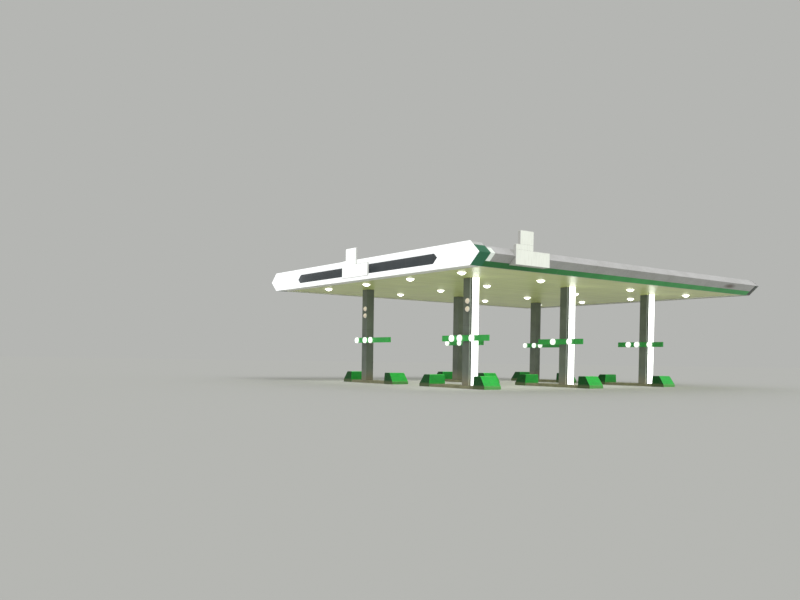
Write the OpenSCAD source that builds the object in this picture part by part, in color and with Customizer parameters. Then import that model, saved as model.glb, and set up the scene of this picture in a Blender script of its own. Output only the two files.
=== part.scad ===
// Filling station canopy: a flat V-nosed roof on six clad columns over fuelling islands.
// Origin: centre of the plan at forecourt level. Front light box towards -Y. Millimetres.

/* [Roof] */
// Height of the roof's lower edge above the forecourt
clear_h = 6000; // [5000:50:7500]
// Length from the face of the front sign to the face of the rear light box
roof_l = 24150; // [23000:50:26000]
// Width between the lower edges of the two side fascias
roof_w = 19500; // [17000:100:24000]
// Reach of the side noses beyond the lower edges
nose_out = 640; // [400:10:900]
// Height of the noses above the lower edge
nose_h = 575; // [500:5:650]
// Height of the side fascias
fascia_h = 950; // [930:10:1000]
// Thickness of the fascia panels and light box casings
panel_t = 30; // [10:1:40]
// Width of the lip under each side fascia
lip_w = 60; // [45:1:120]
// Distance of the parapet's inner face inboard of the lower edge
parapet_in = 30; // [0:5:100]
// Height of the green stripe along the lower edge
stripe_h = 233; // [100:1:300]
// Thickness of the green stripe
stripe_t = 6; // [2:1:15]

/* [Ceiling] */
// Height of the ceiling above the roof's lower edge
ceiling_up = 70; // [60:5:150]
// Thickness of the ceiling panels
ceiling_t = 30; // [10:1:40]
// Spacing of the downlights across the roof
light_dx = 4430; // [4200:10:4900]
// Distance of the inner rows of downlights from the middle of the roof
light_y_in = 3960; // [3000:10:4500]
// Distance of the outer rows of downlights from the middle of the roof
light_y_out = 9780; // [8600:10:10100]
// Diameter of the downlight lenses
lens_d = 460; // [250:5:500]
// Drop of the downlight lenses below the ceiling
lens_drop = 130; // [40:5:150]
// Height of the downlight cans above the ceiling's face
can_h = 130; // [80:5:200]
// Width of the cans' flange on top of the ceiling
can_rim = 25; // [10:5:40]

/* [Light boxes] */
// Depth of the front light box
front_box_d = 760; // [650:10:900]
// Depth of the rear light box
rear_box_d = 400; // [350:10:600]
// Thickness of the lit acrylic faces
face_t = 50; // [20:5:80]
// Thickness of the lit walls round each recess
reveal_t = 25; // [10:1:40]
// Height of the dark recess
recess_h = 590; // [450:10:650]
// Distance from the tip of the light box to the tip of the recess
recess_end = 3030; // [1500:10:4500]
// Depth of the front recess
front_recess_d = 350; // [200:10:500]
// Depth of the rear recess
rear_recess_d = 260; // [150:10:280]
// Thickness of the dark panels in the recesses
recess_panel_t = 20; // [5:1:30]
// Width of the lit bands that wrap the noses
chevron_w = 285; // [100:5:400]
// Thickness of the lit bands
chevron_t = 18; // [8:1:40]
// Height of the bare fascia above the lit bands
chevron_gap = 90; // [20:5:150]

/* [Signs] */
// Height of the sign boxes
sign_h = 730; // [640:10:740]
// Height of the sign boxes above the lower edge
sign_up = 170; // [120:5:200]
// Rise of the raised panels above the sign boxes
panel_rise = 270; // [100:10:400]
// Rise of the upright blades above the raised panels
blade_rise = 680; // [300:10:900]
// Radius of the signs' corners
sign_r = 50; // [10:5:80]
// Width of the front sign's box
front_sign_w = 2650; // [2000:50:3200]
// Width of the front sign's raised panel
front_panel_w = 1450; // [1200:10:1800]
// Width of the front sign's blade
front_blade_w = 1080; // [500:10:1150]
// Distance of the front sign's left edge from the middle of the roof
front_sign_x = 1330; // [600:10:2500]
// Width of the side sign's box
side_sign_w = 2350; // [1800:50:2600]
// Width of the side sign's raised panel
side_panel_w = 1200; // [1000:10:1500]
// Width of the side sign's blade
side_blade_w = 920; // [400:10:950]
// Distance of the side sign's front edge from the front light box's face
side_sign_y = 2380; // [1600:10:4000]
// Thickness of the front sign
front_sign_t = 80; // [50:5:120]
// Depth of the side sign, from the nose into the fascia
side_sign_d = 500; // [480:5:560]
// Thickness of the side sign's raised panel and blade
side_blade_t = 150; // [60:5:200]

/* [Columns] */
// Spacing of the two column rows across the roof
column_dx = 10050; // [9600:50:10800]
// Spacing of the columns along the roof
column_dy = 7750; // [7000:50:8500]
// Width of the column cladding
column_w = 540; // [400:10:700]
// Width of the steel post inside
post_w = 280; // [150:10:320]
// Height of the cladding's joint above the island
joint_h = 3300; // [3100:50:3900]
// Width and depth of the joint
joint_w = 12; // [6:1:20]

/* [Column lights] */
// Width of the light strips
strip_w = 300; // [200:10:380]
// Depth of the light strips' opal diffusers
diffuser_d = 230; // [120:10:260]
// Depth of the light strips' metal channels
channel_d = 70; // [30:5:100]
// Corner radius of the diffusers
diffuser_r = 45; // [10:5:80]
// Height of the light strips' feet above the islands
strip_foot = 10; // [0:5:300]
// Diameter of the wall lamps
lamp_d = 300; // [200:10:320]
// Bulge of the wall lamps' domes
lamp_bulge = 120; // [60:5:140]
// Thickness of the wall lamps' back plates
lamp_base_t = 25; // [10:5:40]
// Height of the lower wall lamp above the forecourt
lamp_z = 4340; // [4000:10:4700]
// Spacing of the two wall lamps
lamp_dz = 440; // [380:10:600]
// Shift of the wall lamps towards the +X edge of their column
lamp_shift = 110; // [0:5:110]

/* [Islands] */
// Length of an island with its kerb
island_l = 5300; // [4700:50:5500]
// Width of an island
island_w = 1100; // [900:10:1300]
// Height of the kerb
kerb_h = 150; // [100:5:250]
// Distance of the column from the middle of its island
column_shift = 875; // [600:5:1000]
// Length of the raised pad on each island
pad_l = 1500; // [900:10:1800]
// Width of the pad
pad_w = 600; // [400:10:800]
// Height of the pad above the island
pad_h = 20; // [5:1:40]
// Distance of the pad's middle from the column's
pad_dx = 1450; // [1300:10:1500]

/* [Guards] */
// Length of a guard at the forecourt
guard_l = 900; // [800:10:1300]
// How far the sloping outer end leans back to the guard's top
guard_slope = 380; // [200:10:450]
// Height of a guard
guard_h = 700; // [500:10:900]
// Width of a guard at the forecourt
guard_w = 1200; // [1200:10:1400]
// Lean of the guard's long sides towards each other
guard_lean = 50; // [0:5:100]
// Radius of the guard's top edge at its outer end
guard_r = 120; // [40:5:200]
// Radius of the guard's top edge at its inner end
guard_inner_r = 50; // [20:5:100]
// Reach of a guard beyond the end of its island
guard_out = 150; // [100:10:300]
// How much further out the outer guard of the middle right-hand island stands
guard_set_out = 500; // [0:10:600]

/* [Number boards] */
// Length of a number board
board_l = 3800; // [3000:50:4200]
// Length of the middle and rear boards of the right-hand row
short_board_l = 3500; // [3000:50:4200]
// Height of a number board
board_h = 320; // [250:10:450]
// Thickness of a number board
board_t = 120; // [60:5:160]
// Height of the boards' middle above the forecourt
board_z = 2750; // [2400:10:2900]
// Reach of the right row's boards beyond the column's middle, towards the left
right_board_reach = 1900; // [1300:10:2200]
// Reach of the left row's boards beyond the column's middle, towards the left
left_board_reach = 820; // [650:10:1300]
// Diameter of the round number lamps
disc_d = 380; // [200:10:400]
// Thickness of the round number lamps
disc_t = 90; // [30:5:120]

/* [Steelwork] */
// Height of the roof girders
girder_h = 300; // [200:10:320]
// Width of the girders' flanges
flange_w = 180; // [120:10:220]
// Thickness of the girders' flanges
flange_t = 14; // [8:1:20]
// Thickness of the girders' webs
web_t = 10; // [6:1:16]
// Height of the purlins
purlin_h = 120; // [80:10:140]
// Width of the purlins
purlin_w = 50; // [40:5:70]
// Thickness of the purlins
purlin_t = 6; // [3:1:8]
// Number of purlins on each side of the ridge
purlins_per_side = 6; // [4:1:8]
// Fall of the roof deck in percent
roof_fall = 1.5; // [1:0.5:2]
// Thickness of the roof deck's sheet
deck_t = 8; // [3:1:12]
// Reach of the roof deck over the gutters
deck_out = 60; // [20:5:120]
// Height of the deck's standing seams
seam_h = 40; // [20:5:50]
// Width of the deck's standing seams
seam_w = 30; // [20:5:40]
// Spacing of the standing seams
seam_pitch = 600; // [400:50:900]
// Width of the ridge cap
cap_w = 400; // [250:10:600]
// Width of the gutters
gutter_w = 400; // [300:10:500]
// Depth of the gutters
gutter_h = 110; // [80:5:120]
// Thickness of the gutters' sheet
gutter_t = 8; // [3:1:12]
// Thickness of the ribs inside the noses
rib_t = 12; // [8:1:20]
// Width of the ribs' open frames
rib_w = 60; // [40:5:90]
// Number of ribs along each side
rib_count = 9; // [6:1:14]

/* [Hidden] */
$fn = 64;
eps = 1;
clearance = 1;
side_w = roof_w / 2;
nose_x = side_w + nose_out;
plate_h = 2 * nose_h;
slope = nose_out / nose_h;
// Horizontal thickness of a sloping panel
skin_x = panel_t * norm([nose_out, nose_h]) / nose_h;
top_x = nose_x - slope * (fascia_h - nose_h);
parapet_x = side_w - parapet_in;
front_face_y = -roof_l / 2 + front_sign_t;
rear_face_y = roof_l / 2;
front_back_y = front_face_y + front_box_d;
rear_back_y = rear_face_y - rear_box_d;
ceiling_z = clear_h + ceiling_up;
girder_z = ceiling_z + ceiling_t;
girder_top = girder_z + girder_h;
edge_x = parapet_x + panel_t - flange_w / 2;
gutter_x = parapet_x - gutter_w;
fall = roof_fall / 100;
deck_angle = atan(fall);
deck_edge_x = gutter_x + deck_out;
purlin_x_max = gutter_x - purlin_w;
packer_min = 10;
packer_w = 150;
packer_l = 100;
ridge_z = girder_top + packer_min + purlin_h + fall * (purlin_x_max + purlin_w);
column_x = column_dx / 2;
island_x = column_x - column_shift;
row_y = [-column_dy, 0, column_dy];
light_x = [-1.5, -0.5, 0.5, 1.5] * light_dx;
light_y = [-light_y_out, -light_y_in, light_y_in, light_y_out];
// Places of the round number lamps along each board, from the column's middle
right_discs = [[-1030, -350, 650], [-660, 650], [-1030, -350, 650]];
left_discs = [[-640, 300, 940], [-710, 600], [-640, 300, 940]];
rib_pitch = (rear_back_y - front_back_y) / rib_count;
rib_y = [for (i = [0.5:rib_count]) front_back_y + i * rib_pitch];
// Place of the side sign along the roof
side_sign_start = front_face_y + side_sign_y;
side_sign_end = side_sign_start + side_sign_w;

// Outlines

function unit(v) = v / norm(v);
function left_normal(a, b) = let (d = unit(b - a)) [-d[1], d[0]];
function mitre(a, b, c, t) =
    let (m = left_normal(a, b), n = left_normal(b, c)) b + t * (m + n) / (1 + m * n);

// Closed outline moved inwards by t
function inset(points, t) =
    let (n = len(points))
    [for (i = [0:n - 1]) mitre(points[(i + n - 1) % n], points[i], points[(i + 1) % n], t)];

// Open path moved to its left by t
function inset_path(path, t) =
    let (last = len(path) - 1)
    [for (i = [0:last])
        i == 0 ? path[0] + t * left_normal(path[0], path[1])
        : i == last ? path[last] + t * left_normal(path[last - 1], path[last])
        : mitre(path[i - 1], path[i], path[i + 1], t)];

function reversed(list) = [for (i = [len(list) - 1:-1:0]) list[i]];
function sheet(path, t) = concat(path, reversed(inset_path(path, t)));

// Points on an arc, from angle a to angle b
function arc(centre, r, a, b, steps = 8) =
    [for (i = [0:steps]) let (w = a + (b - a) * i / steps) centre + r * [cos(w), sin(w)]];

// Outer surface of the nose at height z above the lower edge
function nose_at(z) = side_w + slope * (z < nose_h ? z : plate_h - z);

// Band on the nose between two heights, from inner to outer
function nose_band(low, high, inner, outer) =
    let (bend = low < nose_h && high > nose_h ? [nose_h] : [],
         heights = concat([low], bend, [high]))
    concat([for (z = heights) [nose_at(z) + outer, z]],
           [for (z = reversed(heights)) [nose_at(z) + inner, z]]);

// Long hexagon with pointed ends, down and up from the height of the noses' tips
function hexagon(tip_x, down, up) =
    let (low_x = tip_x - slope * down, high_x = tip_x - slope * up)
    [[-low_x, -down], [low_x, -down], [tip_x, 0], [high_x, up], [-high_x, up], [-tip_x, 0]];

// Shapes drawn in X and Z, drawn out along Y
module along_y(from, to) {
    translate([0, to, 0])
        rotate([90, 0, 0])
            linear_extrude(height = to - from) children();
}

// Shapes drawn in Y and Z, drawn out along X
module along_x(from, to) {
    translate([from, 0, 0])
        rotate([90, 0, 90])
            linear_extrude(height = to - from) children();
}

module block(low, high) {
    translate(low) cube(high - low);
}

module both_sides() {
    children();
    mirror([1, 0, 0]) children();
}

// Islands, guards and columns. side is -1 on the left and 1 on the right

module island_outline(grow = 0) {
    w = island_w + 2 * grow;
    run = island_l - island_w;
    square([run, w], center = true);
    for (end = [-1, 1])
        translate([end * run / 2, 0]) circle(d = w);
}

module island(side, row) {
    color([0.62, 0.61, 0.56])
        translate([side * island_x, row_y[row], 0]) {
            linear_extrude(height = kerb_h) island_outline();
            translate([side * (column_shift - pad_dx) - pad_l / 2, -pad_w / 2, 0])
                cube([pad_l, pad_w, kerb_h + pad_h]);
        }
}

// Guard with its sloping end towards +X
module guard_body() {
    half_l = guard_l / 2;
    half_w = guard_w / 2;
    knee = [half_l, kerb_h];
    crown = [half_l - guard_slope, guard_h];
    inner = [-half_l, guard_h];
    start_angle = atan2(crown[1] - knee[1], crown[0] - knee[0]) - 90;
    intersection() {
        along_y(-half_w, half_w)
            polygon(concat([[-half_l, 0], [half_l, 0], knee],
                           arc(mitre(knee, crown, inner, guard_r), guard_r, start_angle, 90),
                           arc(inner + guard_inner_r * [1, -1], guard_inner_r, 90, 180)));
        along_x(-half_l - eps, half_l + eps)
            polygon([[-half_w, -eps], [half_w, -eps], [half_w, kerb_h],
                     [half_w - guard_lean, guard_h + eps],
                     [guard_lean - half_w, guard_h + eps], [-half_w, kerb_h]]);
    }
}

module guard_pair(side, row) {
    reach = island_l / 2 + guard_out - guard_l / 2;
    for (end = [-1, 1])
        difference() {
            extra = side == 1 && row == 1 && end == 1 ? guard_set_out : 0;
            translate([side * island_x + end * (reach + extra), row_y[row], 0])
                mirror([end < 0 ? 1 : 0, 0, 0]) guard_body();
            translate([side * island_x, row_y[row], -eps])
                linear_extrude(height = kerb_h + eps) island_outline(clearance);
        }
}

module guards(side) {
    color([0.16, 0.62, 0.27])
        for (row = [0:2]) guard_pair(side, row);
}

module column(side, row) {
    color([0.33, 0.36, 0.33])
        translate([side * column_x, row_y[row], 0]) {
            difference() {
                block([-column_w / 2, -column_w / 2, kerb_h],
                      [column_w / 2, column_w / 2, ceiling_z]);
                translate([0, 0, kerb_h + joint_h])
                    difference() {
                        cube([column_w + eps, column_w + eps, joint_w], center = true);
                        cube([column_w - 2 * joint_w, column_w - 2 * joint_w, 2 * joint_w],
                             center = true);
                    }
            }
            block([-post_w / 2, -post_w / 2, ceiling_z - eps],
                  [post_w / 2, post_w / 2, girder_z]);
        }
}

// Number boards on the front faces of the columns

function board_back(row) = row_y[row] - column_w / 2;

module board(side, row) {
    start = side * column_x - (side > 0 ? right_board_reach : left_board_reach);
    length = side > 0 && row > 0 ? short_board_l : board_l;
    color([0.17, 0.55, 0.27])
        translate([start, 0, board_z])
            block([0, board_back(row) - board_t, -board_h / 2],
                  [length, board_back(row), board_h / 2]);
}

module number_lamps() {
    color([0.95, 0.97, 0.94])
        for (side = [-1, 1])
            for (row = [0:2])
                for (dx = (side < 0 ? left_discs : right_discs)[row])
                    translate([side * column_x + dx, board_back(row) - board_t, board_z])
                        rotate([90, 0, 0]) cylinder(d = disc_d, h = disc_t);
}

// Light strips on the outer faces of the right-hand columns

module strip_place() {
    for (row = [0:2])
        translate([column_x + column_w / 2, row_y[row], kerb_h + strip_foot])
            linear_extrude(height = ceiling_z - kerb_h - strip_foot) children();
}

module strip_channels() {
    color([0.55, 0.57, 0.56])
        strip_place()
            translate([0, -strip_w / 2]) square([channel_d, strip_w]);
}

module strip_diffusers() {
    inner = strip_w / 2 - diffuser_r;
    front = channel_d + diffuser_d - diffuser_r;
    color([0.97, 0.98, 0.97])
        strip_place()
            polygon(concat([[channel_d, strip_w / 2], [channel_d, -strip_w / 2]],
                           arc([front, -inner], diffuser_r, -90, 0),
                           arc([front, inner], diffuser_r, 0, 90)));
}

module wall_lamp() {
    radius = (pow(lamp_d / 2, 2) + pow(lamp_bulge, 2)) / (2 * lamp_bulge);
    rotate([90, 0, 0]) {
        cylinder(d = lamp_d, h = lamp_base_t);
        intersection() {
            translate([0, 0, lamp_base_t + lamp_bulge - radius]) sphere(r = radius);
            translate([0, 0, lamp_base_t / 2]) cylinder(d = lamp_d, h = lamp_base_t + lamp_bulge);
        }
    }
}

module wall_lamps() {
    color([0.84, 0.80, 0.72])
        for (side = [-1, 1])
            for (z = [lamp_z, lamp_z + lamp_dz])
                translate([side * column_x + lamp_shift, board_back(0), z]) wall_lamp();
}

// Ceiling and downlights

module at_lights() {
    for (x = light_x)
        for (y = light_y)
            translate([x, y, ceiling_z]) children();
}

module ceiling() {
    color([0.80, 0.81, 0.74])
        difference() {
            block([lip_w - side_w, front_back_y, ceiling_z],
                  [side_w - lip_w, rear_back_y, girder_z]);
            at_lights()
                translate([0, 0, -eps]) cylinder(d = lens_d, h = ceiling_t + 2 * eps);
            for (side = [-1, 1])
                for (y = row_y)
                    translate([side * column_x, y, ceiling_z + ceiling_t / 2])
                        cube([post_w, post_w, ceiling_t + 2 * eps], center = true);
        }
}

module downlight_cans() {
    color([0.70, 0.71, 0.70])
        at_lights() {
            cylinder(d = lens_d, h = can_h);
            translate([0, 0, ceiling_t]) cylinder(d = lens_d + 2 * can_rim, h = can_h - ceiling_t);
        }
}

module downlight_lenses() {
    radius = (pow(lens_d / 2, 2) + pow(lens_drop, 2)) / (2 * lens_drop);
    color([0.98, 0.98, 0.93])
        at_lights()
            intersection() {
                translate([0, 0, radius - lens_drop]) sphere(r = radius);
                translate([0, 0, -lens_drop]) cylinder(d = lens_d, h = lens_drop);
            }
}

// Steelwork between the ceiling and the deck

module girder_profile() {
    for (z = [0, girder_h - flange_t])
        translate([-flange_w / 2, z]) square([flange_w, flange_t]);
    translate([-web_t / 2, 0]) square([web_t, girder_h]);
}

module girders() {
    cross_y = concat([front_back_y + flange_w / 2], row_y, [rear_back_y - flange_w / 2]);
    color([0.52, 0.33, 0.26])
        translate([0, 0, girder_z]) {
            for (y = cross_y)
                along_x(-edge_x, edge_x) translate([y, 0]) girder_profile();
            for (x = [-edge_x, -column_x, column_x, edge_x])
                along_y(front_back_y, rear_back_y) translate([x, 0]) girder_profile();
        }
}

function deck_under(x) = ridge_z - fall * abs(x);

module purlin(x) {
    seat = deck_under(abs(x) + purlin_w / 2) - purlin_h;
    half = purlin_w / 2;
    along_y(front_back_y, rear_back_y)
        polygon(sheet([[x + half, seat], [x - half, seat],
                       [x - half, seat + purlin_h], [x + half, seat + purlin_h]], -purlin_t));
    for (y = row_y)
        block([x - packer_w / 2, y - packer_l / 2, girder_top],
              [x + packer_w / 2, y + packer_l / 2, seat + purlin_t / 2]);
}

module purlins() {
    pitch = purlin_x_max / purlins_per_side;
    color([0.60, 0.61, 0.60])
        for (i = [-purlins_per_side:purlins_per_side]) purlin(i * pitch);
}

function beside_sign(y) = y < side_sign_start - rib_w || y > side_sign_end + rib_w;

// Rib with its opening, whose edges run a rib's width inside the rib's own
module rib_outline() {
    foot = girder_z - clear_h;
    top = fascia_h - panel_t;
    inner_x = parapet_x + panel_t;
    tip_x = nose_x - skin_x;
    open_x = inner_x + rib_w;
    open_tip_x = tip_x - rib_w * skin_x / panel_t;
    open_h = (open_tip_x - open_x) / slope;
    difference() {
        polygon([[inner_x, foot], [nose_at(foot) - skin_x, foot], [tip_x, nose_h],
                 [nose_at(top) - skin_x, top], [inner_x, top]]);
        intersection() {
            polygon([[open_x, nose_h - open_h], [open_tip_x, nose_h], [open_x, nose_h + open_h]]);
            translate([inner_x, foot + rib_w]) square([nose_out, top - foot - 2 * rib_w]);
        }
    }
}

module fascia_ribs() {
    color([0.52, 0.33, 0.26])
        for (side = [-1, 1])
            for (y = rib_y)
                if (side < 0 || beside_sign(y))
                    mirror([side < 0 ? 1 : 0, 0, 0])
                        translate([0, y, clear_h])
                            along_y(-rib_t / 2, rib_t / 2) rib_outline();
}

// Roof deck, falling from the ridge to the gutters

function seam_points(first, count) =
    [for (i = [0:count - 1])
        let (y = first + i * seam_pitch)
        each [[y - seam_w / 2, deck_t], [y - seam_w / 2, seam_h],
              [y + seam_w / 2, seam_h], [y + seam_w / 2, deck_t]]];

module roof_deck() {
    ridge_gap = 2;
    edge_gap = 5;
    low_y = front_back_y + edge_gap;
    high_y = rear_back_y - edge_gap;
    count = floor((high_y - low_y - seam_pitch) / seam_pitch) + 1;
    first = (low_y + high_y - (count - 1) * seam_pitch) / 2;
    color([0.66, 0.69, 0.70])
        both_sides()
            translate([0, 0, ridge_z])
                rotate([0, deck_angle, 0])
                    along_x(ridge_gap, deck_edge_x / cos(deck_angle))
                        polygon(concat([[high_y, deck_t], [high_y, 0], [low_y, 0], [low_y, deck_t]],
                                       seam_points(first, count)));
}

module gutter() {
    along_y(front_back_y, rear_back_y)
        polygon(sheet([[gutter_x, girder_top + gutter_h], [gutter_x, girder_top],
                       [parapet_x, girder_top], [parapet_x, girder_top + gutter_h]], gutter_t));
}

module roof_flashings() {
    cap_z = ridge_z + seam_h / cos(deck_angle);
    color([0.62, 0.65, 0.66]) {
        both_sides() gutter();
        along_y(front_back_y + eps, rear_back_y - eps)
            polygon(sheet([[cap_w / 2, cap_z - fall * cap_w / 2], [0, cap_z],
                           [-cap_w / 2, cap_z - fall * cap_w / 2]], -gutter_t));
    }
}

// Side fascias with their V-shaped noses

module fascia() {
    path = [[side_w - lip_w, ceiling_up + ceiling_t], [side_w - lip_w, 0], [side_w, 0],
            [nose_x, nose_h], [top_x, fascia_h], [parapet_x, fascia_h],
            [parapet_x, girder_top - clear_h]];
    translate([0, 0, clear_h])
        along_y(front_back_y, rear_back_y) polygon(sheet(path, panel_t));
}

module side_sign_space() {
    translate([nose_x - side_sign_d, side_sign_start, clear_h + sign_up])
        cube([side_sign_d + eps, side_sign_w, sign_h]);
}

module fascia_left() {
    color([0.74, 0.75, 0.74]) mirror([1, 0, 0]) fascia();
}

module fascia_right() {
    color([0.74, 0.75, 0.74])
        difference() {
            fascia();
            side_sign_space();
        }
}

module green_stripes() {
    color([0.13, 0.42, 0.22])
        difference() {
            both_sides()
                translate([0, 0, clear_h])
                    along_y(front_back_y, rear_back_y)
                        polygon(nose_band(0, stripe_h, 0, stripe_t));
            side_sign_space();
        }
}

module corner_wraps() {
    color([0.13, 0.48, 0.30])
        both_sides()
            translate([0, 0, clear_h])
                along_y(front_face_y + face_t, front_back_y)
                    polygon(nose_band(0, fascia_h, -skin_x, 0));
}

module light_bands() {
    color([0.93, 0.96, 0.92])
        both_sides()
            translate([0, 0, clear_h])
                along_y(front_back_y, front_back_y + chevron_w)
                    polygon(nose_band(stripe_h, fascia_h - chevron_gap, 0, chevron_t));
}

// Light boxes. Each is drawn with its face at y = 0 and its body towards +Y

rear_up = fascia_h - nose_h;
rear_rim = (fascia_h - recess_h) / 2;
recess_x = nose_x - recess_end;
front_outline = hexagon(nose_x, nose_h, nose_h);
front_recess_outline = hexagon(recess_x, recess_h / 2, recess_h / 2);
// The rear light box ends level with the top of the side fascias
rear_outline = hexagon(nose_x, nose_h, rear_up);
rear_recess_outline = hexagon(recess_x, nose_h - rear_rim, rear_up - rear_rim);

module at_plate() {
    translate([0, 0, clear_h + nose_h]) children();
}

module box_case(outline, depth) {
    body = inset(outline, panel_t);
    along_y(face_t, depth)
        difference() {
            polygon(body);
            polygon(inset(body, panel_t));
        }
    along_y(depth - panel_t, depth) polygon(body);
}

module box_face(outline, recess, recess_d) {
    along_y(0, face_t)
        difference() {
            polygon(outline);
            polygon(recess);
        }
    along_y(face_t / 2, recess_d)
        difference() {
            polygon(inset(recess, -reveal_t));
            polygon(recess);
        }
}

module box_recess_panel(recess, recess_d) {
    along_y(recess_d, recess_d + recess_panel_t) polygon(inset(recess, -reveal_t));
}

module at_front() {
    translate([0, front_face_y, 0]) at_plate() children();
}

module at_rear() {
    translate([0, rear_face_y, 0]) mirror([0, 1, 0]) at_plate() children();
}

module front_case() {
    color([0.78, 0.80, 0.79]) at_front() box_case(front_outline, front_box_d);
}

module front_light_face() {
    color([0.97, 0.98, 0.97])
        at_front() box_face(front_outline, front_recess_outline, front_recess_d);
}

module front_recess_panel() {
    color([0.22, 0.25, 0.25])
        at_front() box_recess_panel(front_recess_outline, front_recess_d);
}

module rear_case() {
    color([0.33, 0.36, 0.35]) at_rear() box_case(rear_outline, rear_box_d);
}

module rear_light_face() {
    color([0.97, 0.98, 0.97])
        at_rear() box_face(rear_outline, rear_recess_outline, rear_recess_d);
}

module rear_recess_panel() {
    color([0.22, 0.25, 0.25]) at_rear() box_recess_panel(rear_recess_outline, rear_recess_d);
}

// Blank sign boxes, drawn in width and height from the sign's lower left corner

// Box with rounded corners
module rounded(w, h) {
    r = sign_r;
    polygon(concat(arc([w - r, r], r, -90, 0), arc([w - r, h - r], r, 0, 90),
                   arc([r, h - r], r, 90, 180), arc([r, r], r, 180, 270)));
}

module sign_outline(box_w, panel_w, blade_w) {
    square([box_w, sign_h]);
    rounded(panel_w, sign_h + panel_rise);
    translate([panel_w - blade_w, 0]) rounded(blade_w, sign_h + panel_rise + blade_rise);
}

module front_sign() {
    color([0.95, 0.96, 0.94])
        translate([-front_sign_x, 0, clear_h + sign_up])
            along_y(front_face_y - front_sign_t, front_face_y)
                sign_outline(front_sign_w, front_panel_w, front_blade_w);
}

module side_sign() {
    color([0.95, 0.96, 0.94])
        translate([0, side_sign_start, clear_h + sign_up]) {
            along_x(nose_x - side_sign_d, nose_x) square([side_sign_w, sign_h]);
            along_x(nose_x - side_blade_t, nose_x)
                sign_outline(side_sign_w, side_panel_w, side_blade_w);
        }
}

island(-1, 0);  // island_front_left
island(-1, 1);  // island_middle_left
island(-1, 2);  // island_rear_left
island(1, 0);  // island_front_right
island(1, 1);  // island_middle_right
island(1, 2);  // island_rear_right
column(-1, 0);  // column_front_left
column(-1, 1);  // column_middle_left
column(-1, 2);  // column_rear_left
column(1, 0);  // column_front_right
column(1, 1);  // column_middle_right
column(1, 2);  // column_rear_right
board(-1, 0);  // board_front_left
board(-1, 1);  // board_middle_left
board(-1, 2);  // board_rear_left
board(1, 0);  // board_front_right
board(1, 1);  // board_middle_right
board(1, 2);  // board_rear_right
guards(-1);  // guards_left
guards(1);  // guards_right
number_lamps();
strip_channels();
strip_diffusers();
wall_lamps();
ceiling();
downlight_cans();
downlight_lenses();
girders();
purlins();
fascia_ribs();
roof_deck();
roof_flashings();
fascia_left();
fascia_right();
green_stripes();
corner_wraps();
light_bands();
front_case();
front_light_face();
front_recess_panel();
rear_case();
rear_light_face();
rear_recess_panel();
front_sign();
side_sign();
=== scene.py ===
import math

import bmesh
import bpy
from mathutils import Matrix, Vector


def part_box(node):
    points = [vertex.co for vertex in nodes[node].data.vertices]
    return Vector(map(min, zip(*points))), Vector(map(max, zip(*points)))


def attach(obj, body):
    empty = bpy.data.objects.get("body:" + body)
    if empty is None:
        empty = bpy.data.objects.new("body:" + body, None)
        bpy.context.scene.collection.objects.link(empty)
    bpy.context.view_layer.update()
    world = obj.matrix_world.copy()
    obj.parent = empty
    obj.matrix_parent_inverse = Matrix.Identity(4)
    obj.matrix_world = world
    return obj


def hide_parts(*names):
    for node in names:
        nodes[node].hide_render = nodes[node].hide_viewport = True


# Filling station canopy: finishes, trims and fittings on the solids of its frame, in metres
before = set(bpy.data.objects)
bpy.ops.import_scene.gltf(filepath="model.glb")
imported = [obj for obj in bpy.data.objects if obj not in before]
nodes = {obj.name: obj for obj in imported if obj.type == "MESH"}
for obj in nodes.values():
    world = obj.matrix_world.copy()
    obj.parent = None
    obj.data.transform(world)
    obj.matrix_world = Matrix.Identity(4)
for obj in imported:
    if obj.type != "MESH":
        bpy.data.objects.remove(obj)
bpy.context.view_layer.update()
print("frame loaded:", len(nodes), "nodes")


# Colours and nodes

def linearColour(hexText):
    parts = [int(hexText[i:i + 2], 16) / 255 for i in (1, 3, 5)]
    return tuple(p / 12.92 if p <= 0.04045 else ((p + 0.055) / 1.055) ** 2.4 for p in parts) + (1.0,)


def plug(tree, node, values):
    for socket, value in values.items():
        if isinstance(value, bpy.types.NodeSocket):
            tree.links.new(value, node.inputs[socket])
        elif isinstance(value, str):
            node.inputs[socket].default_value = linearColour(value)
        else:
            node.inputs[socket].default_value = value


# A mix node always mixes colours here: its inputs 0, 6 and 7 are the share and the two colours
def addNode(tree, kind, values=None, output=0, **settings):
    node = tree.nodes.new(kind)
    if kind == "ShaderNodeMix":
        node.data_type = "RGBA"
        output = 2
    for name, value in settings.items():
        setattr(node, name, value)
    plug(tree, node, values or {})
    return node.outputs[output]


def newMaterial(name):
    material = bpy.data.materials.new(name)
    material.use_nodes = True
    tree = material.node_tree
    places = tree.nodes.new("ShaderNodeTexCoord").outputs["Object"]
    return material, tree, tree.nodes["Principled BSDF"], places


# Facets told apart by how far their normal points up, with the margin each way
facets = {"lowSlope": (-0.75, 0.15), "underside": (-1.0, 0.1)}


def onFacet(tree, kind):
    rise, margin = facets[kind]
    normal = addNode(tree, "ShaderNodeNewGeometry", output="Normal")
    upward = addNode(tree, "ShaderNodeSeparateXYZ", {0: normal}, output="Z")
    return addNode(tree, "ShaderNodeMath", {0: upward, 1: rise, 2: margin}, operation="COMPARE")


# Coil-coated sheet: smooth paint baked on flat metal, so it looks even and satin, with faint rain
# streaks and road dust low down.
coat = {"patchSize": 0.9, "streakWidth": 0.07, "peelSize": 0.012, "grime": "#6d6a5f", "dust": "#a59a80",
        "dustFrom": 0.15, "dustTo": 0.9, "shadePatch": "#5c4b3f", "shadePatchStretch": (1.0, 0.35, 1.2)}


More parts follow.
